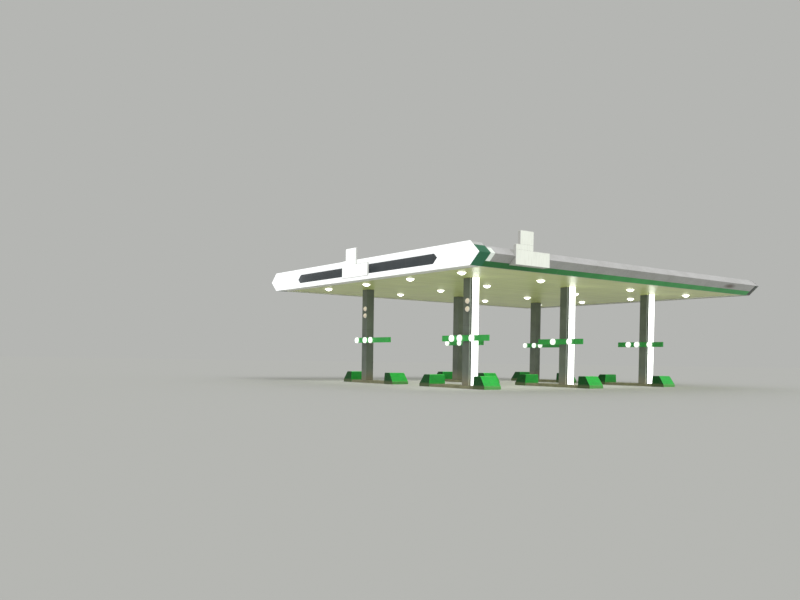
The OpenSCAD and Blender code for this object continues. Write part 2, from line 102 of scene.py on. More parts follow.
def coatedSheet(name, look):
    material, tree, shader, places = newMaterial(name)
    patches = addNode(tree, "ShaderNodeTexNoise", {"Vector": places, "Scale": 1 / coat["patchSize"],
                                                   "Detail": 3.0})
    patchMask = addNode(tree, "ShaderNodeMapRange", {"Value": patches, "From Min": 0.35, "From Max": 0.7})
    paint = addNode(tree, "ShaderNodeMix", {0: patchMask, 6: look["colour"], 7: look["shade"]})
    if "paintedShade" in look:
        # Painted shade: a darker colour at one end of the roof, fading into the rest
        along = addNode(tree, "ShaderNodeSeparateXYZ", {0: places}, output="Y")
        shadiestAt, plainFrom = look["paintedShadeAlong"]
        paintedShadeMask = addNode(tree, "ShaderNodeMapRange", {"Value": along, "From Min": shadiestAt,
                                                          "From Max": plainFrom, "To Min": 1.0,
                                                          "To Max": 0.0})
        paint = addNode(tree, "ShaderNodeMix", {0: paintedShadeMask, 6: paint, 7: look["paintedShade"]})
    if "lowSlopesPaintedLight" in look:
        # Facets that slope down get their own colour: painted light and shade, a lit and a shaded copy of
        # one finish
        paint = addNode(tree, "ShaderNodeMix", {0: onFacet(tree, "lowSlope"), 6: paint,
                                                7: look["lowSlopesPaintedLight"]})
    drawn = addNode(tree, "ShaderNodeMapping", {"Vector": places, "Scale": (1.0, 1.0, 0.06)})
    streaks = addNode(tree, "ShaderNodeTexNoise", {"Vector": drawn, "Scale": 1 / coat["streakWidth"],
                                                   "Detail": 4.0})
    streakMask = addNode(tree, "ShaderNodeMapRange", {"Value": streaks, "From Min": 0.5,
                                                      "From Max": 0.82, "To Max": look["streaks"]})
    worn = addNode(tree, "ShaderNodeMix", {0: streakMask, 6: paint, 7: look.get("grime", coat["grime"])})
    if "paintedLightUndersides" in look:
        # Painted light: faces that point down are painted near white
        worn = addNode(tree, "ShaderNodeMix", {0: onFacet(tree, "underside"), 6: worn,
                                               7: look["paintedLightUndersides"]})
    if "dust" in look:
        height = addNode(tree, "ShaderNodeSeparateXYZ", {0: places}, output="Z")
        low = addNode(tree, "ShaderNodeMapRange", {"Value": height, "From Min": coat["dustFrom"],
                                                   "From Max": coat["dustTo"], "To Min": 1.0,
                                                   "To Max": 0.0})
        dustBreak = addNode(tree, "ShaderNodeMath", {0: low, 1: patches}, operation="MULTIPLY")
        dustMask = addNode(tree, "ShaderNodeMath", {0: dustBreak, 1: look["dust"]}, operation="MULTIPLY")
        worn = addNode(tree, "ShaderNodeMix", {0: dustMask, 6: worn, 7: coat["dust"]})
    if "shadePatch" in look:
        # Painted shade: a brown patch lying along one panel, broken up at its rim
        offset = addNode(tree, "ShaderNodeVectorMath", {0: places, 1: look["shadePatch"]}, operation="SUBTRACT")
        flattened = addNode(tree, "ShaderNodeVectorMath", {0: offset, 1: coat["shadePatchStretch"]},
                            operation="MULTIPLY")
        away = addNode(tree, "ShaderNodeVectorMath", {0: flattened}, output="Value", operation="LENGTH")
        ragged = addNode(tree, "ShaderNodeMath", {0: streaks, 1: 0.12, 2: away}, operation="MULTIPLY_ADD")
        shadePatchMask = addNode(tree, "ShaderNodeMapRange", {"Value": ragged, "From Min": 0.13,
                                                         "From Max": 0.31, "To Min": 0.8, "To Max": 0.0})
        worn = addNode(tree, "ShaderNodeMix", {0: shadePatchMask, 6: worn, 7: coat["shadePatch"]})
    roughness = addNode(tree, "ShaderNodeMapRange", {"Value": streaks, "From Min": 0.3, "From Max": 0.8,
                                                     "To Min": look["roughness"],
                                                     "To Max": look["roughness"] + 0.18})
    # Orange peel in the coat, about 4 mm across on the real sheet and drawn at 12 mm to show
    peel = addNode(tree, "ShaderNodeTexNoise", {"Vector": places, "Scale": 1 / coat["peelSize"],
                                                "Detail": 1.0})
    relief = addNode(tree, "ShaderNodeBump", {"Height": peel, "Strength": 0.05, "Distance": 0.002})
    plug(tree, shader, {"Base Color": worn, "Roughness": roughness, "Normal": relief, "IOR": 1.5})
    return material


# Opal acrylic lit from inside by rows of LEDs: an even white glow with slight bands and a soft gloss.
opal = {"rowSize": 0.6, "dirt": "#8f8d80", "dirtSize": 0.25, "boardHole": 0.16, "boardRim": 0.3}


def litAcrylic(name, look):
    material, tree, shader, places = newMaterial(name)
    rowSize = look.get("rowSize", opal["rowSize"])
    rows = addNode(tree, "ShaderNodeTexNoise", {"Vector": places, "Scale": 1 / rowSize, "Detail": 1.0})
    glow = addNode(tree, "ShaderNodeMapRange", {"Value": rows, "From Min": 0.3, "From Max": 0.7,
                                                "To Min": look["strength"] * 0.95,
                                                "To Max": look["strength"] * 1.03})
    if "failing" in look:
        # The lamp over this place has lost the middle of its LED board, so only its rim is bright
        away = addNode(tree, "ShaderNodeVectorMath", {0: places, 1: look["failing"]}, output="Value",
                       operation="DISTANCE")
        left = addNode(tree, "ShaderNodeMapRange", {"Value": away, "From Min": opal["boardHole"],
                                                    "From Max": opal["boardRim"], "To Min": 0.02})
        glow = addNode(tree, "ShaderNodeMath", {0: glow, 1: left}, operation="MULTIPLY")
    dirt = addNode(tree, "ShaderNodeTexNoise", {"Vector": places, "Scale": 1 / opal["dirtSize"],
                                                "Detail": 6.0})
    dirtMask = addNode(tree, "ShaderNodeMapRange", {"Value": dirt, "From Min": 0.55, "From Max": 0.85,
                                                    "To Max": 0.3})
    body = addNode(tree, "ShaderNodeMix", {0: dirtMask, 6: look["body"], 7: opal["dirt"]})
    roughness = addNode(tree, "ShaderNodeMapRange", {"Value": dirt, "To Min": 0.2, "To Max": 0.4})
    plug(tree, shader, {"Base Color": body, "Roughness": roughness, "IOR": 1.49,
                        "Emission Color": look["light"], "Emission Strength": glow})
    return material


# Cast concrete with a trowelled top: dull and grainy, sandy dust on top, dark splashes and scuffs
# along the foot. Its sand grains of 2 mm are drawn at 9 mm so that they show.
concrete = {"sandy": "#959476", "grey": "#838267", "grain": "#6f6c57", "scuff": "#4d493f",
            "cloudSize": 0.4, "grainSize": 0.009, "scuffSize": 0.18}


def castConcrete():
    material, tree, shader, places = newMaterial("castConcrete")
    clouds = addNode(tree, "ShaderNodeTexNoise", {"Vector": places, "Scale": 1 / concrete["cloudSize"],
                                                  "Detail": 6.0})
    cloudMask = addNode(tree, "ShaderNodeMapRange", {"Value": clouds, "From Min": 0.35, "From Max": 0.65})
    clouded = addNode(tree, "ShaderNodeMix", {0: cloudMask, 6: concrete["sandy"], 7: concrete["grey"]})
    grains = addNode(tree, "ShaderNodeTexNoise", {"Vector": places, "Scale": 1 / concrete["grainSize"],
                                                  "Detail": 2.0})
    grainMask = addNode(tree, "ShaderNodeMapRange", {"Value": grains, "From Min": 0.45, "From Max": 0.8,
                                                     "To Max": 0.35})
    grained = addNode(tree, "ShaderNodeMix", {0: grainMask, 6: clouded, 7: concrete["grain"]})
    drawn = addNode(tree, "ShaderNodeMapping", {"Vector": places, "Scale": (0.5, 0.5, 6.0)})
    scuffs = addNode(tree, "ShaderNodeTexNoise", {"Vector": drawn, "Scale": 1 / concrete["scuffSize"],
                                                  "Detail": 5.0})
    height = addNode(tree, "ShaderNodeSeparateXYZ", {0: places}, output="Z")
    low = addNode(tree, "ShaderNodeMapRange", {"Value": height, "From Min": 0.02, "From Max": 0.14,
                                               "To Min": 1.0, "To Max": 0.1})
    scuffBreak = addNode(tree, "ShaderNodeMapRange", {"Value": scuffs, "From Min": 0.55,
                                                      "From Max": 0.75, "To Max": 0.45})
    scuffMask = addNode(tree, "ShaderNodeMath", {0: low, 1: scuffBreak}, operation="MULTIPLY")
    scuffed = addNode(tree, "ShaderNodeMix", {0: scuffMask, 6: grained, 7: concrete["scuff"]})
    relief = addNode(tree, "ShaderNodeBump", {"Height": grains, "Strength": 0.35, "Distance": 0.003})
    plug(tree, shader, {"Base Color": scuffed, "Roughness": 0.9, "Normal": relief, "IOR": 1.5})
    return material


# Green gloss enamel brushed on welded steel plate: shiny and saturated, chipped to grey along the
# edges and scraped low down.
enamel = {"fresh": "#37ca52", "faded": "#2aae45", "shadedSidePlates": "#07501a", "chip": "#5d625c",
          "scrape": "#2b3a2c", "dust": "#9a8f72", "toneSize": 0.5, "chipSize": 0.06, "scrapeSize": 0.11,
          "brushSize": 0.03}


def guardEnamel():
    material, tree, shader, places = newMaterial("guardEnamel")
    tones = addNode(tree, "ShaderNodeTexNoise", {"Vector": places, "Scale": 1 / enamel["toneSize"],
                                                 "Detail": 3.0})
    fresh = addNode(tree, "ShaderNodeMix", {0: tones, 6: enamel["fresh"], 7: enamel["faded"]})
    # Painted shade: the side plates are painted a dark green
    normal = addNode(tree, "ShaderNodeNewGeometry", output="Normal")
    across = addNode(tree, "ShaderNodeSeparateXYZ", {0: normal}, output="Y")
    sideways = addNode(tree, "ShaderNodeMath", {0: across}, operation="ABSOLUTE")
    shadedSideMask = addNode(tree, "ShaderNodeMapRange", {"Value": sideways, "From Min": 0.55, "From Max": 0.7})
    enamelWithShadedSides = addNode(tree, "ShaderNodeMix", {0: shadedSideMask, 6: fresh, 7: enamel["shadedSidePlates"]})
    edges = addNode(tree, "ShaderNodeNewGeometry", output="Pointiness")
    edgeMask = addNode(tree, "ShaderNodeMapRange", {"Value": edges, "From Min": 0.52, "From Max": 0.6})
    chips = addNode(tree, "ShaderNodeTexNoise", {"Vector": places, "Scale": 1 / enamel["chipSize"],
                                                 "Detail": 6.0, "Roughness": 0.65})
    chipBreak = addNode(tree, "ShaderNodeMapRange", {"Value": chips, "From Min": 0.56, "From Max": 0.6})
    chipMask = addNode(tree, "ShaderNodeMath", {0: edgeMask, 1: chipBreak}, operation="MULTIPLY")
    chipped = addNode(tree, "ShaderNodeMix", {0: chipMask, 6: enamelWithShadedSides, 7: enamel["chip"]})
    drawn = addNode(tree, "ShaderNodeMapping", {"Vector": places, "Scale": (0.4, 0.4, 5.0)})
    scrapes = addNode(tree, "ShaderNodeTexNoise", {"Vector": drawn, "Scale": 1 / enamel["scrapeSize"],
                                                   "Detail": 6.0})
    scrapeBreak = addNode(tree, "ShaderNodeMapRange", {"Value": scrapes, "From Min": 0.55,
                                                       "From Max": 0.68, "To Max": 0.7})
    height = addNode(tree, "ShaderNodeSeparateXYZ", {0: places}, output="Z")
    low = addNode(tree, "ShaderNodeMapRange", {"Value": height, "From Min": 0.05, "From Max": 0.5,
                                               "To Min": 1.0, "To Max": 0.15})
    scrapeMask = addNode(tree, "ShaderNodeMath", {0: scrapeBreak, 1: low}, operation="MULTIPLY")
    scraped = addNode(tree, "ShaderNodeMix", {0: scrapeMask, 6: chipped, 7: enamel["scrape"]})
    dustMask = addNode(tree, "ShaderNodeMapRange", {"Value": height, "From Min": 0.14, "From Max": 0.24,
                                                    "To Min": 0.3, "To Max": 0.0})
    dusty = addNode(tree, "ShaderNodeMix", {0: dustMask, 6: scraped, 7: enamel["dust"]})
    roughness = addNode(tree, "ShaderNodeMapRange", {"Value": scrapes, "From Min": 0.3, "From Max": 0.7,
                                                     "To Min": 0.22, "To Max": 0.5})
    brushMarks = addNode(tree, "ShaderNodeTexNoise", {"Vector": places,
                                                      "Scale": 1 / enamel["brushSize"], "Detail": 3.0})
    relief = addNode(tree, "ShaderNodeBump", {"Height": brushMarks, "Strength": 0.12, "Distance": 0.004})
    plug(tree, shader, {"Base Color": dusty, "Roughness": roughness, "Normal": relief, "IOR": 1.5,
                        "Specular IOR Level": 0.25})
    return material


# Ceiling strips of coil-coated steel: cream semi-gloss faces 300 mm wide, each a shade off its
# neighbour, with a long soft sheen.
stripCoat = {"pitch": 0.3, "cream": "#dce39c", "shade": "#d3da94", "smoke": "#b3b786", "smokeSize": 1.6,
             "waveSize": 0.35}


def stripCeiling():
    material, tree, shader, places = newMaterial("stripCeiling")
    across = addNode(tree, "ShaderNodeSeparateXYZ", {0: places}, output="X")
    stripNumber = addNode(tree, "ShaderNodeMath", {0: across, 1: stripCoat["pitch"]}, operation="DIVIDE")
    whole = addNode(tree, "ShaderNodeMath", {0: stripNumber}, operation="FLOOR")
    perStrip = addNode(tree, "ShaderNodeTexWhiteNoise", {"W": whole}, noise_dimensions="1D")
    toned = addNode(tree, "ShaderNodeMix", {0: perStrip, 6: stripCoat["cream"], 7: stripCoat["shade"]})
    smoke = addNode(tree, "ShaderNodeTexNoise", {"Vector": places, "Scale": 1 / stripCoat["smokeSize"],
                                                 "Detail": 4.0})
    smokeMask = addNode(tree, "ShaderNodeMapRange", {"Value": smoke, "From Min": 0.45, "From Max": 0.8,
                                                     "To Max": 0.3})
    smoked = addNode(tree, "ShaderNodeMix", {0: smokeMask, 6: toned, 7: stripCoat["smoke"]})
    roughness = addNode(tree, "ShaderNodeMapRange", {"Value": perStrip, "To Min": 0.34, "To Max": 0.38})
    waves = addNode(tree, "ShaderNodeTexNoise", {"Vector": places, "Scale": 1 / stripCoat["waveSize"],
                                                 "Detail": 1.0})
    relief = addNode(tree, "ShaderNodeBump", {"Height": waves, "Strength": 0.02, "Distance": 0.02})
    plug(tree, shader, {"Base Color": smoked, "Roughness": roughness, "Normal": relief, "IOR": 1.5})
    return material


# Hot-dip galvanised sheet: grey zinc, dulled by weather and dust. Its spangles are about 15 mm
# across, drawn at 30 mm so that they show.
zinc = {"pale": "#cdd2d3", "dark": "#b9bfc1", "weathered": "#aaa596", "spangle": 0.03, "weatherSize": 0.8}


def galvanisedSheet():
    material, tree, shader, places = newMaterial("galvanisedSheet")
    spangles = addNode(tree, "ShaderNodeTexVoronoi", {"Vector": places, "Scale": 1 / zinc["spangle"]},
                       output="Color")
    cells = addNode(tree, "ShaderNodeSeparateColor", {0: spangles})
    bright = addNode(tree, "ShaderNodeMix", {0: cells, 6: zinc["pale"], 7: zinc["dark"]})
    weather = addNode(tree, "ShaderNodeTexNoise", {"Vector": places, "Scale": 1 / zinc["weatherSize"],
                                                   "Detail": 6.0})
    weatherMask = addNode(tree, "ShaderNodeMapRange", {"Value": weather, "From Min": 0.48,
                                                       "From Max": 0.75, "To Max": 0.65})
    weathered = addNode(tree, "ShaderNodeMix", {0: weatherMask, 6: bright, 7: zinc["weathered"]})
    shine = addNode(tree, "ShaderNodeMapRange", {"Value": weatherMask, "From Max": 0.65, "To Min": 0.85,
                                                 "To Max": 0.35})
    roughness = addNode(tree, "ShaderNodeMapRange", {"Value": cells, "To Min": 0.42, "To Max": 0.58})
    relief = addNode(tree, "ShaderNodeBump", {"Height": cells, "Strength": 0.05, "Distance": 0.001})
    plug(tree, shader, {"Base Color": weathered, "Metallic": shine, "Roughness": roughness,
                        "Normal": relief})
    return material


# Extruded aluminium, satin anodised: fine lines along the bar and a soft grey shine. Its drawing
# lines of 0.3 mm are shown at 3 mm.
anodised = {"pale": "#b4b7b8", "dark": "#9da1a2", "lineWidth": 0.003}


def anodisedAluminium():
    material, tree, shader, places = newMaterial("anodisedAluminium")
    drawn = addNode(tree, "ShaderNodeMapping", {"Vector": places, "Scale": (1.0, 1.0, 0.02)})
    lines = addNode(tree, "ShaderNodeTexNoise", {"Vector": drawn, "Scale": 1 / anodised["lineWidth"],
                                                 "Detail": 2.0})
    metal = addNode(tree, "ShaderNodeMix", {0: lines, 6: anodised["pale"], 7: anodised["dark"]})
    roughness = addNode(tree, "ShaderNodeMapRange", {"Value": lines, "To Min": 0.3, "To Max": 0.45})
    relief = addNode(tree, "ShaderNodeBump", {"Height": lines, "Strength": 0.08, "Distance": 0.0005})
    plug(tree, shader, {"Base Color": metal, "Metallic": 1.0, "Roughness": roughness, "Normal": relief})
    return material


# Red-oxide primer sprayed on hot-rolled sections: flat brown with a dry bloom and rust at the welds.
redOxide = {"fresh": "#8a4f3c", "dry": "#6f3c2d", "rust": "#7a4a22", "bloomSize": 0.3, "rustSize": 0.09}


def redOxidePrimer():
    material, tree, shader, places = newMaterial("redOxidePrimer")
    bloom = addNode(tree, "ShaderNodeTexNoise", {"Vector": places, "Scale": 1 / redOxide["bloomSize"],
                                                 "Detail": 5.0})
    primer = addNode(tree, "ShaderNodeMix", {0: bloom, 6: redOxide["fresh"], 7: redOxide["dry"]})
    rust = addNode(tree, "ShaderNodeTexNoise", {"Vector": places, "Scale": 1 / redOxide["rustSize"],
                                                "Detail": 7.0})
    rustMask = addNode(tree, "ShaderNodeMapRange", {"Value": rust, "From Min": 0.6, "From Max": 0.7,
                                                    "To Max": 0.8})
    rusted = addNode(tree, "ShaderNodeMix", {0: rustMask, 6: primer, 7: redOxide["rust"]})
    relief = addNode(tree, "ShaderNodeBump", {"Height": rust, "Strength": 0.2, "Distance": 0.001})
    plug(tree, shader, {"Base Color": rusted, "Roughness": 0.75, "Normal": relief, "IOR": 1.5})
    return material


# Gun-applied silicone sealant: smooth and slightly shiny, with dust caught on it.
def siliconeSealant(name, look):
    material, tree, shader, places = newMaterial(name)
    dust = addNode(tree, "ShaderNodeTexNoise", {"Vector": places, "Scale": 1 / look["dustSize"],
                                                "Detail": 4.0})
    colour = addNode(tree, "ShaderNodeMix", {0: dust, 6: look["colour"], 7: look["dust"]})
    relief = addNode(tree, "ShaderNodeBump", {"Height": dust, "Strength": 0.2, "Distance": 0.001})
    plug(tree, shader, {"Base Color": colour, "Roughness": 0.45, "Normal": relief, "IOR": 1.41})
    return material


# Zinc-plated steel screws and bolts: bright grey with a dull bloom.
plating = {"bright": "#a9aba8", "dull": "#7f817d", "bloomSize": 0.01}


def zincPlatedSteel():
    material, tree, shader, places = newMaterial("zincPlatedSteel")
    bloom = addNode(tree, "ShaderNodeTexNoise", {"Vector": places, "Scale": 1 / plating["bloomSize"],
                                                 "Detail": 3.0})
    colour = addNode(tree, "ShaderNodeMix", {0: bloom, 6: plating["bright"], 7: plating["dull"]})
    roughness = addNode(tree, "ShaderNodeMapRange", {"Value": bloom, "To Min": 0.35, "To Max": 0.6})
    plug(tree, shader, {"Base Color": colour, "Metallic": 1.0, "Roughness": roughness})
    return material


# Lit boxes: the front is opal acrylic and the folded sides and back are enamelled steel.
litCase = {"rowSize": 0.4, "streakWidth": 0.06}


def litBox(name, look):
    material, tree, shader, places = newMaterial(name)
    normal = addNode(tree, "ShaderNodeNewGeometry", output="Normal")
    front = addNode(tree, "ShaderNodeVectorMath", {0: normal, 1: look["front"]}, output="Value",
                    operation="DOT_PRODUCT")
    isFront = addNode(tree, "ShaderNodeMapRange", {"Value": front, "From Min": 0.7, "From Max": 0.8})
    returns = look["sides"]
    # Returns on the facets that slope down get their own colour: painted shade
    if "lowSlopesPaintedLight" in look:
        returns = addNode(tree, "ShaderNodeMix", {0: onFacet(tree, "lowSlope"), 6: returns,
                                                  7: look["lowSlopesPaintedLight"]})
    faces = addNode(tree, "ShaderNodeMix", {0: isFront, 6: returns, 7: look["body"]})
    rows = addNode(tree, "ShaderNodeTexNoise", {"Vector": places, "Scale": 1 / litCase["rowSize"],
                                                "Detail": 1.0})
    glow = addNode(tree, "ShaderNodeMapRange", {"Value": rows, "From Min": 0.3, "From Max": 0.7,
                                                "To Min": look["strength"] * 0.94,
                                                "To Max": look["strength"] * 1.04})
    light = addNode(tree, "ShaderNodeMath", {0: glow, 1: isFront}, operation="MULTIPLY")
    drawn = addNode(tree, "ShaderNodeMapping", {"Vector": places, "Scale": (1.0, 1.0, 0.1)})
    streaks = addNode(tree, "ShaderNodeTexNoise", {"Vector": drawn, "Scale": 1 / litCase["streakWidth"],
                                                   "Detail": 5.0})
    streakMask = addNode(tree, "ShaderNodeMapRange", {"Value": streaks, "From Min": 0.5,
                                                      "From Max": 0.8, "To Max": 0.4})
    streaked = addNode(tree, "ShaderNodeMix", {0: streakMask, 6: faces, 7: look["grime"]})
    roughness = addNode(tree, "ShaderNodeMapRange", {"Value": streaks, "To Min": 0.25, "To Max": 0.5})
    plug(tree, shader, {"Base Color": streaked, "Roughness": roughness, "IOR": 1.5,
                        "Emission Color": look["light"], "Emission Strength": light})
    return material


finishes = {
    "concrete": castConcrete(),
    "guard": guardEnamel(),
    "ceiling": stripCeiling(),
    "zinc": galvanisedSheet(),
    "aluminium": anodisedAluminium(),
    "primer": redOxidePrimer(),
    "sealant": siliconeSealant("darkSilicone", {"colour": "#4a4c49", "dust": "#65655e", "dustSize": 0.05}),
    "paleSealant": siliconeSealant("paleSilicone", {"colour": "#a9aaa6", "dust": "#999993",
                                                    "dustSize": 0.05}),
    "screws": zincPlatedSteel(),
    "column": coatedSheet("columnCladdingPaint", {"colour": "#727b71", "shade": "#636b62",
                                                  "roughness": 0.38, "streaks": 0.3, "dust": 1.1,
                                                  "grime": "#8a867a"}),
    "channel": coatedSheet("channelPowderCoat", {"colour": "#5d645d", "shade": "#535a53",
                                                 "roughness": 0.45, "streaks": 0.2}),
    "board": coatedSheet("boardEnamel", {"colour": "#38c654", "shade": "#31b34b", "roughness": 0.3,
                                         # The boards towards the rear are painted a darker green: painted
                                         # shade
                                         "streaks": 0.15, "grime": "#4d7b4e", "paintedShade": "#2f9f47",
                                         "paintedShadeAlong": (8.0, -6.0)}),
    "fascia": coatedSheet("fasciaPanelPaint", {"colour": "#c0c0bf", "shade": "#b5b5b3", "roughness": 0.35,
                                               "streaks": 0.35, "grime": "#918e84",
                                               # A brown patch on the right fascia near the rear end:
                                               # painted shade
                                               "shadePatch": (10.18, 9.1, 6.39)}),
    "stripe": coatedSheet("stripeFilm", {"colour": "#44b35e", "shade": "#3aa353", "roughness": 0.28,
                                         # The stripe is painted a darker green towards the front: painted
                                         # shade
                                         "streaks": 0.2, "grime": "#4f7350", "paintedShade": "#1f7a3a",
                                         "paintedShadeAlong": (-9.0, -1.0)}),
    "wrap": coatedSheet("cornerWrapFilm", {"colour": "#1f7450", "shade": "#196645", "roughness": 0.28,
                                           # The facets that slope down get a lighter green than the upper
                                           # ones: painted light and shade
                                           "streaks": 0.15, "grime": "#4f7260", "lowSlopesPaintedLight": "#2a825c"}),
    "case": coatedSheet("casePaint", {"colour": "#c6c8c5", "shade": "#b9bbb7", "roughness": 0.4,
                                      # Faces that point down are painted near white: painted light
                                      "streaks": 0.5, "grime": "#85827a", "paintedLightUndersides": "#f4f4ef"}),
    "rearCase": coatedSheet("rearCasePaint", {"colour": "#c0c0bf", "shade": "#b5b5b3", "roughness": 0.4,
                                              # The facets that slope down are painted dark grey: painted
                                              # shade
                                              "streaks": 0.4, "grime": "#85827a", "lowSlopesPaintedLight": "#59605d",
                                              # Faces that point down are painted near white: painted light
                                              "paintedLightUndersides": "#f4f4ef"}),
    "recess": coatedSheet("recessPanelPaint", {"colour": "#3d4448", "shade": "#343b3f", "roughness": 0.45,
                                               "streaks": 0.2, "grime": "#57595a"}),
    "edgeTrim": coatedSheet("edgeTrimPaint", {"colour": "#f3f3ec", "shade": "#eaeae2", "roughness": 0.4,
                                              "streaks": 0.1}),
    "trim": coatedSheet("whiteTrimPaint", {"colour": "#d9dad6", "shade": "#cecfcb", "roughness": 0.35,
                                           "streaks": 0.3, "grime": "#96948a"}),
    "shell": litAcrylic("wallLampDome", {"body": "#cdc1ad", "light": "#fff0dd", "strength": 0.33,
                                         "rowSize": 0.12}),
    "litFace": litAcrylic("litAcrylicFace", {"body": "#b9bab6", "light": "#fbfdff", "strength": 0.9}),
    "litBand": litAcrylic("litBandAcrylic", {"body": "#b6b9b4", "light": "#ecf8ee", "strength": 0.52}),
    "litDisc": litAcrylic("litDiscAcrylic", {"body": "#b9bbb5", "light": "#f7fff7", "strength": 1.1,
                                             "rowSize": 0.3}),
    "litStrip": litAcrylic("litStripDiffuser", {"body": "#b8bab6", "light": "#fbfff8", "strength": 3.0}),
    "litLens": litAcrylic("litLensAcrylic", {"body": "#b9b9b0", "light": "#fffff2", "strength": 5.0,
                                             "failing": (-6.645, 9.78, 6.0)}),
    # Bezel rings glowing like the lenses: painted light
    "litRim": litAcrylic("litRimAcrylic", {"body": "#b9b9b0", "light": "#fffff2", "strength": 0.9}),
    "frontSign": litBox("frontSignBox", {"front": (0, -1, 0), "body": "#cdcfca", "sides": "#d2d4cf",
                                         "grime": "#9b9a8e", "light": "#fcffff", "strength": 0.85}),
    "sideSign": litBox("sideSignBox", {"front": (1, 0, 0), "body": "#cfd2c9", "sides": "#cdcdc8",
                                       "grime": "#9b9a8e", "light": "#f6fcee", "strength": 0.32}),
    "rearFace": litBox("rearLightFace", {"front": (0, 1, 0), "body": "#b9bab6", "sides": "#c0c0bf",
                                         # Returns on the facets that slope down are painted dark grey:
                                         # painted shade
                                         "lowSlopesPaintedLight": "#59605d", "grime": "#85827a", "light": "#fbfdff",
                                         "strength": 0.9}),
}
print("finishes made:", len(finishes))

nodeFinish = {
    "island": "concrete", "guards": "guard", "column": "column", "board": "board",
    "number_lamps": "litDisc", "strip_channels": "channel", "strip_diffusers": "litStrip",
    "wall_lamps": "shell", "ceiling": "ceiling", "downlight_cans": "aluminium",
    "downlight_lenses": "litLens", "girders": "primer", "purlins": "zinc", "fascia_ribs": "primer",
    "roof_deck": "zinc", "roof_flashings": "zinc", "fascia_left": "fascia", "fascia_right": "fascia",
    "green_stripes": "stripe", "corner_wraps": "wrap", "light_bands": "litBand", "front_case": "case",
    "front_light_face": "litFace", "front_recess_panel": "recess", "rear_case": "rearCase",
    "rear_light_face": "rearFace", "rear_recess_panel": "recess", "front_sign": "frontSign",
    "side_sign": "sideSign",
}
for nodeName, node in nodes.items():
    key = nodeName if nodeName in nodeFinish else nodeName.split("_")[0]
    node.data.materials.clear()
    node.data.materials.append(finishes[nodeFinish[key]])

# Worn and folded edges on the solids near the ground
edgeRadius = {"island": 0.012, "guards": 0.014, "column": 0.004, "board": 0.004, "strip": 0.003}
edgeBevel = {"weldWithin": 0.00001, "segments": 2, "fromAngle": 40}
for nodeName, node in nodes.items():
    radius = edgeRadius.get(nodeName.split("_")[0], 0)
    if radius:
        weld = node.modifiers.new("weld", "WELD")
        weld.merge_threshold = edgeBevel["weldWithin"]
        rounding = node.modifiers.new("rounding", "BEVEL")
        rounding.width = radius
        rounding.segments = edgeBevel["segments"]
        rounding.limit_method = "ANGLE"
        rounding.angle_limit = math.radians(edgeBevel["fromAngle"])
print("solids finished")


# Meshes for trims and fittings

def addLoft(mesh, rings, closed=False):
    loops = [[mesh.verts.new(point) for point in ring] for ring in rings]
    pairs = list(zip(loops, loops[1:]))
    if closed:
        pairs.append((loops[-1], loops[0]))
    for first, second in pairs:
        for i in range(len(first)):
            j = (i + 1) % len(first)
            mesh.faces.new((first[i], first[j], second[j], second[i]))
    if not closed:
        mesh.faces.new(loops[0][::-1])
        mesh.faces.new(loops[-1])


# Block between two opposite corners, given in either order
def addBlock(mesh, first, second):
    x0, y0, z0 = (min(pair) for pair in zip(first, second))
    x1, y1, z1 = (max(pair) for pair in zip(first, second))
    ring = [(x0, y0), (x1, y0), (x1, y1), (x0, y1)]
    addLoft(mesh, [[(x, y, z0) for x, y in ring], [(x, y, z1) for x, y in ring]])


def turnedRing(place, turn, radius, height, steps):
    angles = [2 * math.pi * i / steps for i in range(steps)]
    return [place + turn @ Vector((radius * math.cos(a), radius * math.sin(a), height)) for a in angles]


# Solid or ring turned about an axis. The profile is (radius, height) pairs along the axis.
def addTurned(mesh, place, axis, profile, steps, closed=False):
    turn = Vector((0, 0, 1)).rotation_difference(Vector(axis)).to_matrix()
    rings = [turnedRing(Vector(place), turn, r, h, steps) for r, h in profile]
    addLoft(mesh, rings, closed=closed)


# Sides of the turned parts, and profiles of the fixings in shares of their size, which is the
# radius of the washer or of the screw's head
sides = {"lamp": 48, "disc": 40, "guard": 24, "washer": 16, "gland": 12, "screw": 10, "head": 6}
fixing = {"washer": ((1, 0), (1, 0.15), (0.98, 0.2)), "head": ((0.62, 0), (0.62, 0.4), (0.5, 0.5)),
          "screw": ((1, 0), (0.85, 0.35), (0.4, 0.5)), "washerTop": 0.2}


def addFixing(mesh, place, axis, size, part):
    addTurned(mesh, place, axis, [(size * r, size * h) for r, h in fixing[part]], sides[part])


# Hexagon-head bolt with its washer, standing on a surface
def addBolt(mesh, place, axis, size):
    addFixing(mesh, place, axis, size, "washer")
    addFixing(mesh, Vector(place) + Vector(axis) * size * fixing["washerTop"], axis, size, "head")


def addScrew(mesh, place, axis, size):
    addFixing(mesh, place, axis, size, "screw")


# Quarter circle, anticlockwise from its first angle in degrees
def arcPoints(u, v, radius, start, count):
    angles = [math.radians(start + 90 * i / (count - 1)) for i in range(count)]
    return [(u + radius * math.cos(a), v + radius * math.sin(a)) for a in angles]


# Places one pitch apart, either side of the middle
def centredPlaces(count, pitch):
    return [(i - (count - 1) / 2) * pitch for i in range(count)]


# Places one pitch apart from the first on, as long as they stay below the end
def placesFrom(first, end, pitch):
    while first < end:
        yield first
        first += pitch


sharpFrom = math.radians(35)  # edges that turn further than this stay sharp


def placePiece(name, mesh, finish, smooth=True):
    bmesh.ops.recalc_face_normals(mesh, faces=mesh.faces)
    data = bpy.data.meshes.new(name)
    mesh.to_mesh(data)
    mesh.free()
    data.materials.append(finishes[finish])
    if smooth:
        data.shade_smooth()
        data.set_sharp_from_angle(angle=sharpFrom)
    piece = bpy.data.objects.new(name, data)
    bpy.context.scene.collection.objects.link(piece)
    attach(piece, "root")
    return piece


